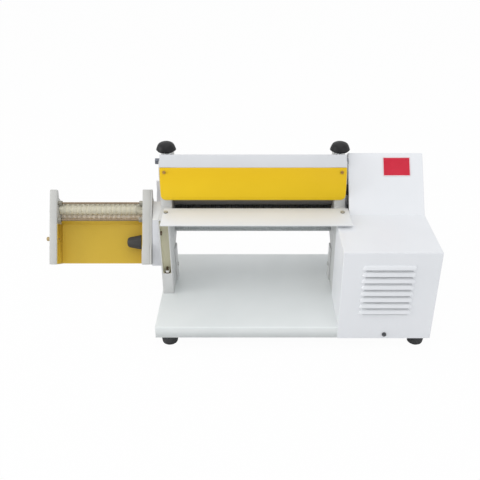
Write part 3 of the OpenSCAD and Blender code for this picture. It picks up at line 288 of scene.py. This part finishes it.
metals = {
    "rollerSteel": {"dark": (0.42, 0.44, 0.45), "light": (0.56, 0.575, 0.58), "rough": (0.24, 0.36),
                    "stretch": (60, 1.5, 1.5), "scale": 14},
    "turnedSteel": {"dark": (0.46, 0.46, 0.45), "light": (0.60, 0.60, 0.59), "rough": (0.22, 0.34),
                    "stretch": (50, 2, 2), "scale": 18},
    "zincPlate": {"dark": (0.50, 0.51, 0.52), "light": (0.64, 0.65, 0.66), "rough": (0.24, 0.38),
                  "stretch": (1, 1, 1), "scale": 180},
    "brassScrew": {"dark": (0.34, 0.25, 0.12), "light": (0.56, 0.44, 0.24), "rough": (0.30, 0.44),
                   "stretch": (1, 1, 1), "scale": 160},
    "agedScrew": {"dark": (0.060, 0.040, 0.026), "light": (0.15, 0.105, 0.072), "rough": (0.32, 0.48),
                  "stretch": (1, 1, 1), "scale": 220},
    # Painted highlight: the lighter face finish of the guard screws, on the faces toward the front
    "screwFaceLit": {"dark": (0.34, 0.17, 0.035), "light": (0.48, 0.26, 0.055), "rough": (0.60, 0.75),
                  "metallic": 0.0, "stretch": (1, 1, 1), "scale": 220},
    "boltGrey": {"dark": (0.12, 0.13, 0.15), "light": (0.20, 0.21, 0.24), "rough": (0.36, 0.50),
                 "stretch": (1, 1, 1), "scale": 160},
    "nutOlive": {"dark": (0.22, 0.21, 0.175), "light": (0.34, 0.325, 0.275), "rough": (0.38, 0.52),
                 "stretch": (1, 1, 1), "scale": 160},
    "paleZinc": {"dark": (0.60, 0.60, 0.59), "light": (0.70, 0.70, 0.69), "rough": (0.48, 0.60),
                 "stretch": (1, 1, 1), "scale": 180},
    # Painted shade: the upper roller is toned dark so that the slot under the guard reads dark, as shade would
    "nipShadeSteel": {"dark": (0.24, 0.23, 0.228), "light": (0.29, 0.28, 0.277), "rough": (0.48, 0.58),
                 "metallic": 0.15, "stretch": (60, 1.5, 1.5), "scale": 14},
    "rodSteel": {"dark": (0.20, 0.155, 0.105), "light": (0.34, 0.265, 0.185), "rough": (0.34, 0.46),
                 "stretch": (30, 1, 1), "scale": 40},
    "rollSteel": {"dark": (0.57, 0.54, 0.425), "light": (0.615, 0.58, 0.46), "rough": (0.58, 0.68),
                  "metallic": 0.1, "stretch": (50, 2, 2), "scale": 18},
    # Painted light: groove floors and disc sides paler than the discs, to cancel the shade inside the grooves
    "groovePaintedLight": {"dark": (0.72, 0.68, 0.54), "light": (0.77, 0.73, 0.58), "rough": (0.62, 0.72),
                    "metallic": 0.0, "stretch": (50, 2, 2), "scale": 18},
    # Painted light: an even pale tone in place of the rear roll's shading and reflections
    "paleLitRoll": {"dark": (0.90, 0.81, 0.68), "light": (0.94, 0.85, 0.72), "rough": (0.60, 0.70),
                      "metallic": 0.0, "stretch": (50, 2, 2), "scale": 18},
    "bearingBronze": {"dark": (0.42, 0.27, 0.12), "light": (0.54, 0.36, 0.17), "rough": (0.30, 0.44),
                      "stretch": (20, 1, 1), "scale": 40},
    "gearSteel": {"dark": (0.16, 0.165, 0.17), "light": (0.27, 0.275, 0.285), "rough": (0.30, 0.48),
                  "stretch": (1, 1, 1), "scale": 90},
    "darkScrew": {"dark": (0.085, 0.087, 0.09), "light": (0.16, 0.163, 0.17), "rough": (0.34, 0.48),
                  "stretch": (1, 1, 1), "scale": 150},
}

toolMarks = {"detail": 4, "glossScale": 2.3, "glossDetail": 3, "strength": 0.12, "depth": 0.0001}


def metal(name):
    # Tool marks run round turned and ground pieces, an even grain covers plated ones
    info = metals[name]
    material, tree, shader = startMaterial(name)
    shader.inputs["Metallic"].default_value = info.get("metallic", 1.0)
    tool = grain(tree, info["scale"], toolMarks["detail"], info["stretch"])
    gloss = grain(tree, info["scale"] * toolMarks["glossScale"], toolMarks["glossDetail"], info["stretch"])
    tintFrom(tree, shader, tool, info["dark"], info["light"])
    roughFrom(tree, shader, gloss, *info["rough"])
    bumpFrom(tree, shader, tool, toolMarks["strength"], toolMarks["depth"])
    return material


mouldings = {
    "knobBlack": {"dark": (0.010, 0.010, 0.011), "light": (0.017, 0.017, 0.018), "rough": (0.40, 0.52),
                  "grainScale": 900, "bump": 0.10, "shine": 0.25},
    "lockBlack": {"dark": (0.020, 0.019, 0.017), "light": (0.034, 0.032, 0.029), "rough": (0.42, 0.54),
                  "grainScale": 900, "bump": 0.10},
    "footRubber": {"dark": (0.022, 0.022, 0.023), "light": (0.038, 0.038, 0.039), "rough": (0.55, 0.72),
                   "grainScale": 700, "bump": 0.25},
    "switchBlack": {"dark": (0.018, 0.018, 0.019), "light": (0.030, 0.030, 0.031), "rough": (0.30, 0.42),
                    "grainScale": 1100, "bump": 0.10},
    "beltRubber": {"dark": (0.016, 0.016, 0.016), "light": (0.034, 0.034, 0.034), "rough": (0.60, 0.80),
                   "grainScale": 500, "bump": 0.30},
    "badgeRed": {"dark": (0.58, 0.008, 0.034), "light": (0.64, 0.012, 0.042), "rough": (0.36, 0.46),
                 "grainScale": 1200, "bump": 0.03, "shine": 0.3},
    "badgeRim": {"dark": (0.76, 0.62, 0.64), "light": (0.82, 0.70, 0.72), "rough": (0.36, 0.46),
                 "grainScale": 1200, "bump": 0.03},
}

mouldSkin = {"tone": (30, 4), "gloss": (70, 3), "depth": 0.0002}


def moulding(name):
    # Plastic, rubber and print: the mould's fine grain
    info = mouldings[name]
    material, tree, shader = startMaterial(name)
    tintFrom(tree, shader, grain(tree, *mouldSkin["tone"]), info["dark"], info["light"])
    roughFrom(tree, shader, grain(tree, *mouldSkin["gloss"]), *info["rough"])
    bumpFrom(tree, shader, grain(tree, info["grainScale"], 2), info["bump"], mouldSkin["depth"])
    shader.inputs["Specular IOR Level"].default_value = info.get("shine", 0.5)
    return material


finish = {}
for key in enamels:
    finish[key] = enamel(key)
for key in metals:
    finish[key] = metal(key)
for key in mouldings:
    finish[key] = moulding(key)
print("finishes mixed:", len(finish))


# Shaping helpers

def vertsOf(drawn):
    return [v for v in drawn["geom"] if isinstance(v, bmesh.types.BMVert)]


def sliceThrough(bm, point, normal, clear=False):
    bmesh.ops.bisect_plane(bm, geom=bm.verts[:] + bm.edges[:] + bm.faces[:], plane_co=point, plane_no=normal,
                           clear_outer=clear)


def block(lo, hi):
    bm = bmesh.new()
    bmesh.ops.create_cube(bm, size=1)
    a, b = at(*lo), at(*hi)
    bmesh.ops.scale(bm, vec=b - a, verts=bm.verts)
    bmesh.ops.translate(bm, vec=(a + b) / 2, verts=bm.verts)
    return bm


def outlineBar(points, x0, x1):
    # A y-z outline drawn out from x0 to x1
    bm = bmesh.new()
    face = bm.faces.new([bm.verts.new(at(x0, y, z)) for y, z in points])
    drawn = bmesh.ops.extrude_face_region(bm, geom=[face])
    bmesh.ops.translate(bm, verts=vertsOf(drawn), vec=(mm(x1 - x0), 0, 0))
    bmesh.ops.recalc_face_normals(bm, faces=bm.faces)
    return bm


def roundEdges(bm, edges, width, segments=3):
    if edges:
        bmesh.ops.bevel(bm, geom=edges, offset=mm(width), offset_type="OFFSET", segments=segments, profile=0.5,
                        affect="EDGES", clamp_overlap=True, material=-1)


def sharpEdges(bm, angle=30, longer=0.0):
    bm.normal_update()
    return [e for e in bm.edges if len(e.link_faces) == 2 and e.calc_face_angle(0) > radians(angle)
            and e.calc_length() > mm(longer)]


def lathe(profile, axisPoint, axis, steps=64):
    # A (radius, along) profile turned about an axis through a point
    bm = bmesh.new()
    axis = Vector(axis).normalized()
    side = axis.orthogonal().normalized()
    centre = at(*axisPoint)
    verts = [bm.verts.new(centre + axis * mm(along) + side * mm(radius)) for radius, along in profile]
    edges = [bm.edges.new(pair) for pair in zip(verts, verts[1:])]
    bmesh.ops.spin(bm, geom=verts + edges, cent=centre, axis=axis, angle=2 * pi, steps=steps, use_merge=True)
    bmesh.ops.remove_doubles(bm, verts=bm.verts, dist=1e-6)
    bmesh.ops.recalc_face_normals(bm, faces=bm.faces)
    return bm


def merged(*parts):
    whole = bmesh.new()
    for bm in parts:
        mesh = bpy.data.meshes.new("passing")
        bm.to_mesh(mesh)
        bm.free()
        whole.from_mesh(mesh)
        bpy.data.meshes.remove(mesh)
    return whole


def settle(name, bm, body, finishes, replaced, smoothAngle=34):
    mesh = bpy.data.meshes.new(name)
    bm.to_mesh(mesh)
    bm.free()
    for polygon in mesh.polygons:
        polygon.use_smooth = True
    mesh.set_sharp_from_angle(angle=radians(smoothAngle))
    for key in finishes:
        mesh.materials.append(finish[key])
    piece = bpy.data.objects.new(name, mesh)
    bpy.context.scene.collection.objects.link(piece)
    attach(piece, body)
    if replaced:
        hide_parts(*replaced)
    return piece


def applyModifiers(piece):
    graph = bpy.context.evaluated_depsgraph_get()
    done = bpy.data.meshes.new_from_object(piece.evaluated_get(graph))
    piece.modifiers.clear()
    piece.data = done


def thicken(piece, sheet, inner=0, even=False, ease=0.0):
    # Sheet metal grown inwards from its outer skin; inner is the finish offset of the inside
    wall = piece.modifiers.new("sheet", "SOLIDIFY")
    wall.thickness = mm(sheet)
    wall.offset = -1
    wall.material_offset = inner
    wall.use_even_offset = even
    if ease:
        soft = piece.modifiers.new("ease", "BEVEL")
        soft.width = mm(ease)
        soft.segments = 2
        soft.limit_method = "ANGLE"
        soft.angle_limit = radians(60)
    applyModifiers(piece)


def plainCopy(node):
    # The solid itself, with flat faces joined up again
    bm = bmesh.new()
    bm.from_mesh(nodes[node].data)
    bmesh.ops.remove_doubles(bm, verts=bm.verts, dist=2e-6)
    bmesh.ops.dissolve_limit(bm, angle_limit=radians(1.0), verts=bm.verts, edges=bm.edges, delimit=set())
    for face in bm.faces:
        face.material_index = 0
    bm.normal_update()
    return bm


def softCopy(node, width, segments=2, angle=30, longer=3.0):
    # The same with its long edges eased
    bm = plainCopy(node)
    roundEdges(bm, sharpEdges(bm, angle, longer), width, segments)
    return bm


# Base and feet

basePan = {"x": (0, 478.2), "y": (1.8, 252.2), "height": 22, "sheet": 1.5, "fold": 2.6, "gussetTop": -20.4}


def makeBase(pan):
    (x0, x1), (y0, y1) = pan["x"], pan["y"]
    bm = block((x0, y0, -pan["height"]), (x1, y1, 0))
    floorFace = min(bm.faces, key=lambda f: f.calc_center_median().z)
    bmesh.ops.delete(bm, geom=[floorFace], context="FACES_ONLY")
    roundEdges(bm, [e for e in bm.edges if len(e.link_faces) == 2], pan["fold"], 4)
    piece = settle("basePan", bm, "machine", ["baseEnamel"], ["base_plate"], 40)
    thicken(piece, pan["sheet"])
    corners = softCopy("base_plate", 0.3, 1)
    above = [f for f in corners.faces if f.calc_center_median().z > at(0, 0, pan["gussetTop"]).z]
    bmesh.ops.delete(corners, geom=above, context="FACES")
    settle("baseGussets", corners, "machine", ["baseEnamel"], [], 38)
    return piece


makeBase(basePan)

rubberFoot = {
    "places": ((23, 20), (460, 20), (23, 234), (460, 234)), "under": -22, "top": 16, "bottom": 13.5, "height": 21.5,
}


def makeFeet(foot):
    wide, narrow, floor = foot["top"], foot["bottom"], -foot["height"]
    profile = [(0, floor), (narrow - 4.0, floor), (narrow - 1.6, floor + 0.5), (narrow - 0.3, floor + 1.7),
               (narrow + 0.3, floor + 4), (wide - 0.5, -4), (wide, -2.4), (wide, -0.6),
               (wide - 0.5, -0.05), (0, -0.05)]
    parts = [lathe(profile, (x, y, foot["under"]), (0, 0, 1), 48) for x, y in foot["places"]]
    return settle("rubberFeet", merged(*parts), "machine", ["footRubber"], ["rubber_feet"], 45)


makeFeet(rubberFoot)
print("base and feet built")

# Motor cover

motorCover = {
    "profile": ((0, -22), (0, 151), (134, 151), (205, 241), (207, 241), (254, 200), (254, -22)),
    "x": (344, 480), "frontX": 318, "frontY": 104, "sheet": 1.5, "fold": 4.0,
    "louvres": {"count": 8, "low": 31.6, "pitch": 12.6, "x": (351, 441), "rise": 8.1, "out": 3.9, "drop": 3.5,
                "nose": 7.0, "proud": 0.05, "sheet": 0.9, "holeInset": 6, "holeTop": 2.8, "holeDepth": (-1, 3)},
    "sideOpening": ((107, 45), (107, 148), (135.5, 148), (199.4, 229), (207, 229), (239, 197), (239, 45)),
    "sideCut": (343, 346.5), "rearOpening": ((356, 250, 14), (468, 256, 188)),
    "switchOpening": ((478, 184, 146), (482, 206, 174)), "screwHole": 2.3, "screwReach": 3,
    "frontScrews": ((399, 0, -13), (399, 254, -13)), "sideScrews": ((480, 60, -13), (480, 190, -13)),
}


def louvreHood(info, z):
    # Pressed hood: a quarter of a ball drawn long, open below
    bm = bmesh.new()
    bmesh.ops.create_uvsphere(bm, u_segments=28, v_segments=16, radius=1.0,
                              matrix=Matrix.Rotation(radians(360 / 56), 4, "Z"))
    for normal in ((0, 1, 0), (0, 0, -1)):
        sliceThrough(bm, (0, 0, 0), normal, True)
    bmesh.ops.scale(bm, vec=(mm(info["nose"]), mm(info["out"]), mm(info["rise"])), verts=bm.verts)
    half = mm((info["x"][1] - info["x"][0]) / 2 - info["nose"])
    for sign in (-1, 1):
        bmesh.ops.translate(bm, vec=(sign * half, 0, 0), verts=[v for v in bm.verts if v.co.x * sign > 0])
    middle = (info["x"][0] + info["x"][1]) / 2
    bmesh.ops.translate(bm, vec=at(middle, info["proud"], z), verts=bm.verts)
    bmesh.ops.recalc_face_normals(bm, faces=bm.faces)
    bmesh.ops.solidify(bm, geom=bm.faces[:], thickness=mm(info["sheet"]))
    return bm


def makeCover(cover):
    x0, x1 = cover["x"]
    bm = outlineBar(cover["profile"], x0, x1)
    step = at(0, cover["frontY"], 0)  # the front part is wider than the rear
    sliceThrough(bm, step, (0, 1, 0))
    bm.faces.ensure_lookup_table()
    left = [f for f in bm.faces if f.normal.x < -0.9 and f.calc_center_median().y < step.y]
    grown = bmesh.ops.extrude_face_region(bm, geom=left)
    bmesh.ops.delete(bm, geom=left, context="FACES_ONLY")
    bmesh.ops.translate(bm, vec=(mm(cover["frontX"] - x0), 0, 0), verts=vertsOf(grown))
    bmesh.ops.recalc_face_normals(bm, faces=bm.faces)
    bmesh.ops.dissolve_limit(bm, angle_limit=radians(0.5), verts=bm.verts, edges=bm.edges, delimit=set())
    under = [f for f in bm.faces if f.normal.z < -0.9]
    bmesh.ops.delete(bm, geom=under, context="FACES_ONLY")
    roundEdges(bm, sharpEdges(bm, 20), cover["fold"], 4)
    # The inside faces take the near-black painted-shade finish
    piece = settle("coverShell", bm, "machine", ["whiteEnamel", "innerShadeDark"], ["motor_cover"], 42)
    thicken(piece, cover["sheet"], inner=1)
    return piece


def cutFrom(piece, blocks):
    # Openings punched through the sheet
    mesh = bpy.data.meshes.new("punch")
    tool = merged(*blocks)
    bmesh.ops.recalc_face_normals(tool, faces=tool.faces)
    tool.to_mesh(mesh)
    tool.free()
    punch = bpy.data.objects.new("punch", mesh)
    bpy.context.scene.collection.objects.link(punch)
    cut = piece.modifiers.new("punch", "BOOLEAN")
    cut.operation = "DIFFERENCE"
    cut.solver = "EXACT"
    cut.object = punch
    bpy.context.view_layer.update()
    applyModifiers(piece)
    bpy.data.objects.remove(punch)
    bpy.data.meshes.remove(mesh)


def finishCover(piece, cover):
    info = cover["louvres"]
    levels = [info["low"] + i * info["pitch"] for i in range(info["count"])]
    x0, x1 = info["x"][0] + info["holeInset"], info["x"][1] - info["holeInset"]
    y0, y1 = info["holeDepth"]
    holes = [block((x0, y0, z - info["drop"]), (x1, y1, z + info["rise"] - info["holeTop"])) for z in levels]
    holes.append(outlineBar(cover["sideOpening"], *cover["sideCut"]))
    holes.append(block(*cover["rearOpening"]))
    holes.append(block(*cover["switchOpening"]))
    r, reach = cover["screwHole"], cover["screwReach"]
    drill = [(0, -reach), (r, -reach), (r, reach), (0, reach)]
    for spots, axis in ((cover["frontScrews"], (0, 1, 0)), (cover["sideScrews"], (1, 0, 0))):
        for spot in spots:
            holes.append(lathe(drill, spot, axis, 20))
    cutFrom(piece, holes)
    piece.data.set_sharp_from_angle(angle=radians(42))
    even = piece.modifiers.new("evenShade", "WEIGHTED_NORMAL")
    even.keep_sharp = True
    even.weight = 100
    applyModifiers(piece)
    hoods = merged(*[louvreHood(info, z) for z in levels])
    settle("coverLouvres", hoods, "machine", ["whiteEnamel"], [], 50)


coverShell = makeCover(motorCover)
finishCover(coverShell, motorCover)
print("motor cover folded and louvred")

badge = {"x": 407, "along": 71.8, "w": 50, "h": 35.5, "t": 1.0, "rim": 1.4, "corner": 1.2, "sunk": 0.15}


def makeBadge(info):
    # Laid on the cover's slope, measured along it from the slope's foot
    (footY, footZ), (crestY, crestZ) = motorCover["profile"][2:4]
    slope = atan2(crestZ - footZ, crestY - footY)
    turn = Matrix.Translation(at(info["x"], footY, footZ)) @ Matrix.Rotation(slope, 4, "X")
    w, h, t = mm(info["w"]), mm(info["h"]), mm(info["t"])
    bm = bmesh.new()
    bmesh.ops.create_cube(bm, size=1)
    bmesh.ops.scale(bm, vec=(w, h, t), verts=bm.verts)
    bmesh.ops.translate(bm, vec=(w / 2, mm(info["along"]) + h / 2, t / 2), verts=bm.verts)
    upright = [e for e in bm.edges if abs((e.verts[0].co - e.verts[1].co).normalized().z) > 0.9]
    roundEdges(bm, upright, info["corner"], 3)
    top = max(bm.faces, key=lambda f: f.calc_center_median().z)
    bmesh.ops.inset_region(bm, faces=[top], thickness=mm(info["rim"]), depth=mm(-info["sunk"]))
    for face in bm.faces:
        face.material_index = 1
    top.material_index = 0
    bmesh.ops.transform(bm, matrix=turn, verts=bm.verts)
    return settle("plainBadge", bm, "machine", ["badgeRed", "badgeRim"], ["badge_plate"], 30)


makeBadge(badge)

# Guard and top beam

rollerGuard = {
    "x": (5, 337.5), "top": (161.0, 231.6), "bottom": (154.0, 171.0), "radius": 78, "sheet": 1.5, "corner": 9.5,
    "ease": 0.35, "rows": 30,
}


def guardArc(info):
    top, low = Vector(info["top"]), Vector(info["bottom"])
    chord = low - top
    inward = Vector((-chord.y, chord.x)).normalized()
    centre = (top + low) / 2 + inward * sqrt(info["radius"] ** 2 - (chord.length / 2) ** 2)
    a0 = atan2(top.y - centre.y, top.x - centre.x)
    a1 = atan2(low.y - centre.y, low.x - centre.x)
    a1 += 2 * pi if a1 < a0 else 0
    return centre, a0, a1


def makeGuard(info):
    # Cut flat, its lower corners rounded, then rolled to the arc
    centre, a0, a1 = guardArc(info)
    run = info["radius"] * (a1 - a0)
    bm = bmesh.new()
    x0, x1 = info["x"]
    corners = [(x0, 0), (x1, 0), (x1, run), (x0, run)]
    bm.faces.new([bm.verts.new((x, s, 0)) for x, s in corners])
    lower = [v for v in bm.verts if v.co.y > run / 2]
    bmesh.ops.bevel(bm, geom=lower, offset=info["corner"], offset_type="OFFSET", segments=8, profile=0.5,
                    affect="VERTICES", clamp_overlap=True, material=-1)
    for i in range(1, info["rows"]):
        sliceThrough(bm, (0, run * i / info["rows"], 0), (0, 1, 0))
    for v in bm.verts:
        angle = a0 + v.co.y / info["radius"]
        v.co = at(v.co.x, centre.x + info["radius"] * cos(angle), centre.y + info["radius"] * sin(angle))
    bmesh.ops.recalc_face_normals(bm, faces=bm.faces)
    if sum(f.normal.y for f in bm.faces) > 0:
        bmesh.ops.reverse_faces(bm, faces=bm.faces)
    piece = settle("guardSheet", bm, "machine", ["yellowEnamel"], ["roller_guard"], 50)
    thicken(piece, info["sheet"], ease=info["ease"])
    return piece


makeGuard(rollerGuard)

topBeam = {
    "x": (5, 337.5), "line": ((161.0, 232.0), (172.0, 251.05), (175.0, 251.05), (194.0, 240.0)), "sheet": 2.5,
    "fold": 1.2, "ease": 0.5,
}


def makeBeam(info):
    x0, x1 = info["x"]
    bm = bmesh.new()
    verts = [bm.verts.new(at(x0, y, z)) for y, z in info["line"]]
    edges = [bm.edges.new(pair) for pair in zip(verts, verts[1:])]
    drawn = bmesh.ops.extrude_edge_only(bm, edges=edges)
    bmesh.ops.translate(bm, vec=(mm(x1 - x0), 0, 0), verts=vertsOf(drawn))
    bmesh.ops.recalc_face_normals(bm, faces=bm.faces)
    if sum(f.normal.z for f in bm.faces) < 0:
        bmesh.ops.reverse_faces(bm, faces=bm.faces)
    roundEdges(bm, [e for e in bm.edges if len(e.link_faces) == 2], info["fold"], 3)
    piece = settle("beamFold", bm, "machine", ["beamEnamel"], ["top_beam"], 60)
    thicken(piece, info["sheet"], even=True, ease=info["ease"])
    return piece


makeBeam(topBeam)
print("guard and beam rolled")

# Pieces that keep the solid's own form, with eased edges

easedPieces = {
    "left_upright": ("leftUpright", "machine", ["frameEnamel", "recessPrimer"], 1.2, "cast_white"),
    "right_upright": ("rightUpright", "machine", ["frameEnamel", "recessPrimer"], 1.2, "cast_white"),
    "left_cheek": ("leftCheek", "machine", ["frameEnamel"], 1.2, "cast_white"),
    "right_cheek": ("rightCheek", "machine", ["frameEnamel"], 1.2, "cast_white"),
    "frame_brackets": ("frameBrackets", "machine", ["frameEnamel"], 0.5, "white_paint"),
    "feed_tray": ("trayTop", "machine", ["trayEnamel"], 0.6, "white_paint"),
    "coupling_cover": ("couplingCover", "machine", ["castEnamel", "castLitTop"], 0.6, "white_paint"),
    "rear_panel": ("rearPanel", "machine", ["whiteEnamel"], 0.5, "white_paint"),
    "motor_cradle": ("motorCradle", "machine", ["frameEnamel"], 0.8, "cast_white"),
    "switch_body": ("switchBody", "machine", ["switchBlack"], 0.6, "black_plastic"),
    "switch_rocker": ("switchRocker", "power_rocker", ["switchBlack"], 0.5, "black_plastic"),
    "cord_gland": ("cordGland", "machine", ["switchBlack"], 0.6, "black_plastic"),
    "cutter_end_plate": ("cutterEndPlate", "cutter", ["cutterEnamel"], 1.8, "cast_white"),
    "cutter_gear_case": ("cutterGearCase", "cutter", ["cutterEnamel"], 1.6, "cast_white"),
    "cutter_case_lid": ("cutterCaseLid", "cutter", ["cutterEnamel"], 0.4, "cast_white"),
    "noodle_chute": ("chuteFold", "cutter", ["chuteShadedYellow"], 0.4, "yellow_paint"),
    "lock_knob": ("lockGrip", "cutter_lock", ["lockBlack"], 1.1, "black_plastic"),
}

channelRoom = {"side": 1.5, "front": 4, "rear": 1, "sill": 40, "top": 1}
litTopTilt = 0.6  # least upward lean of a face that gets the painted highlight of the sloping top


def primeChannel(bm, node, room):
    # Primer inside an upright's channel, paint outside
    lo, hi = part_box(node)
    for face in bm.faces:
        spot = face.calc_center_median()
        if (lo.x + mm(room["side"]) < spot.x < hi.x - mm(room["side"])
                and lo.y + mm(room["front"]) < spot.y < hi.y - mm(room["rear"])
                and lo.z + mm(room["sill"]) < spot.z < hi.z - mm(room["top"])):
            face.material_index = 1


def makeEased(table):
    for node, (name, body, finishes, width, slot) in table.items():
        bm = softCopy(node, width)
        if "recessPrimer" in finishes:
            primeChannel(bm, node, channelRoom)
        # Painted highlight: upward faces take the lighter copy of the paint
        if "castLitTop" in finishes:
            bm.normal_update()
            for face in bm.faces:
                if face.normal.z > litTopTilt:
                    face.material_index = 1
        settle(name, bm, body, finishes, [node])


makeEased(easedPieces)
print("eased pieces:", len(easedPieces))

# Frame fasteners: dark heads, with bright nuts on the ledge studs and bright bracket screws

frameFasteners = {"nuts": (45.3, 49.5), "brackets": (22, 38)}


def makeFasteners(info):
    bm = softCopy("frame_screws", 0.15, 1, 40, 2.0)
    for face in bm.faces:
        height = face.calc_center_median().z * 1000 - zeroPoint.z
        if any(low < height < high for low, high in info.values()):
            face.material_index = 1
    return settle("frameFasteners", bm, "machine", ["agedScrew", "paleZinc"], ["frame_screws"])


makeFasteners(frameFasteners)

# Screw heads: the first finish is a painted highlight on faces toward the facing direction, the second painted shade
# on the rest
sheetScrews = {
    "tray_screws": ("trayScrews", ["paleZinc", "nutOlive"], (0, 0, 1)),
    "guard_screws": ("guardScrews", ["screwFaceLit", "agedScrew"], (0, -1, 0)),
}


def makeScrews(table):
    # Heads split by facing: faces toward facing take the lighter first finish as a painted highlight, the rest the
    # darker second finish as painted shade
    for node, (name, finishes, facing) in table.items():
        bm = plainCopy(node)
        for face in bm.faces:
            if face.normal.dot(Vector(facing)) < 0.5:
                face.material_index = 1
        settle(name, bm, "machine", finishes, [node])


makeScrews(sheetScrews)

# Cutting rolls: satin discs with groove floors painted paler, painted light against their shade; the rear roll is
# painted evenly pale all over

cuttingRolls = {
    "rear_cutting_roll": ("rearRoll", "rear_cutter", ["paleLitRoll", "paleLitRoll"]),
    "front_cutting_roll": ("frontRoll", "front_cutter", ["rollSteel", "groovePaintedLight"]),
}

rimDepth = 0.5  # faces deeper than this below the discs count as grooves, which take the painted-light finish


def makeRolls(table):
    for node, (name, body, finishes) in table.items():
        lo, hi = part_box(node)
        middle = (lo + hi) / 2
        rim = (hi.z - lo.z) / 2 - mm(rimDepth)
        bm = plainCopy(node)
        for face in bm.faces:
            spot = face.calc_center_median() - middle
            if abs(face.normal.x) > 0.5 or sqrt(spot.y ** 2 + spot.z ** 2) < rim:
                face.material_index = 1
        settle(name, bm, body, finishes, [node])


makeRolls(cuttingRolls)
print("screws and rolls dressed")

# Knobs: domed six-lobed grips

adjustKnob = {
    "x": {"left": 13, "right": 329}, "y": 205, "z": 245.5, "lobes": 6, "dip": 0.05,
    "lobeTop": 9, "lobeFade": 1.5, "lobeReach": 2, "lobeStart": 0.8,
    "profile": ((5.4, 1.0), (15.2, 1.0), (15.9, 1.15), (17.4, 2.2), (18.0, 2.9), (18.2, 3.6), (17.8, 4.8),
                (17.2, 6.4), (16.6, 8.0), (15.9, 9.7), (15.2, 11.2), (14.5, 12.5), (13.6, 13.7), (12.5, 14.6),
                (11.0, 15.5), (9.0, 16.4), (6.5, 17.2), (3.5, 17.8), (0, 18.0)),
}


def makeKnob(info, side):
    # Turned, then drawn in between the lobes
    bm = lathe(info["profile"], (info["x"][side], info["y"], info["z"]), (0, 0, 1), 96)
    centre = at(info["x"][side], info["y"], info["z"])
    widest = mm(max(r for r, z in info["profile"]))
    for v in bm.verts:
        flat = Vector((v.co.x - centre.x, v.co.y - centre.y))
        fade = min(1, max(0, info["lobeFade"] * (1 - (v.co.z - centre.z) / mm(info["lobeTop"]))))
        reach = min(1, max(0, info["lobeReach"] * flat.length / widest - info["lobeStart"]))
        wave = 0.5 - 0.5 * cos(info["lobes"] * atan2(flat.y, flat.x))
        pull = 1 - info["dip"] * wave * fade * reach
        v.co.x = centre.x + flat.x * pull
        v.co.y = centre.y + flat.y * pull
    return settle(side + "Grip", bm, side + "_adjuster", ["knobBlack"], [side + "_knob"], 50)


for side in ("left", "right"):
    makeKnob(adjustKnob, side)
print("knobs turned")

# Pieces whose solid is right as it is

plainFinishes = {
    "tie_bar": "turnedSteel", "tie_bolts": "boltGrey", "cover_screws": "darkScrew", "panel_screws": "darkScrew",
    "lower_bushes": "bearingBronze", "bearing_blocks": "bearingBronze", "adjuster_nuts": "zincPlate",
    # The upper roller takes the darkened painted-shade steel
    "left_screw": "zincPlate", "right_screw": "zincPlate", "lower_roller": "rollerSteel", "upper_roller": "nipShadeSteel",
    "lower_roll_gear": "gearSteel", "upper_roll_gear": "gearSteel", "main_gear": "gearSteel", "pinion": "gearSteel",
    "layshaft": "turnedSteel", "driven_pulley": "gearSteel", "motor_pulley": "gearSteel",
    "motor_shaft": "turnedSteel", "motor_body": "gearSteel", "run_capacitor": "switchBlack",
    "drive_belt": "beltRubber", "layshaft_stand": "gearSteel", "cutter_rods": "rodSteel",
    "rod_nuts": "nutOlive", "chute_screw": "brassScrew",
    "rear_cutting_gear": "gearSteel", "front_cutting_gear": "gearSteel", "lock_stud": "zincPlate",
}


def dressPlain(table):
    for node, key in table.items():
        mesh = nodes[node].data
        mesh.materials.clear()
        mesh.materials.append(finish[key])


dressPlain(plainFinishes)
print("plain pieces dressed:", len(plainFinishes))
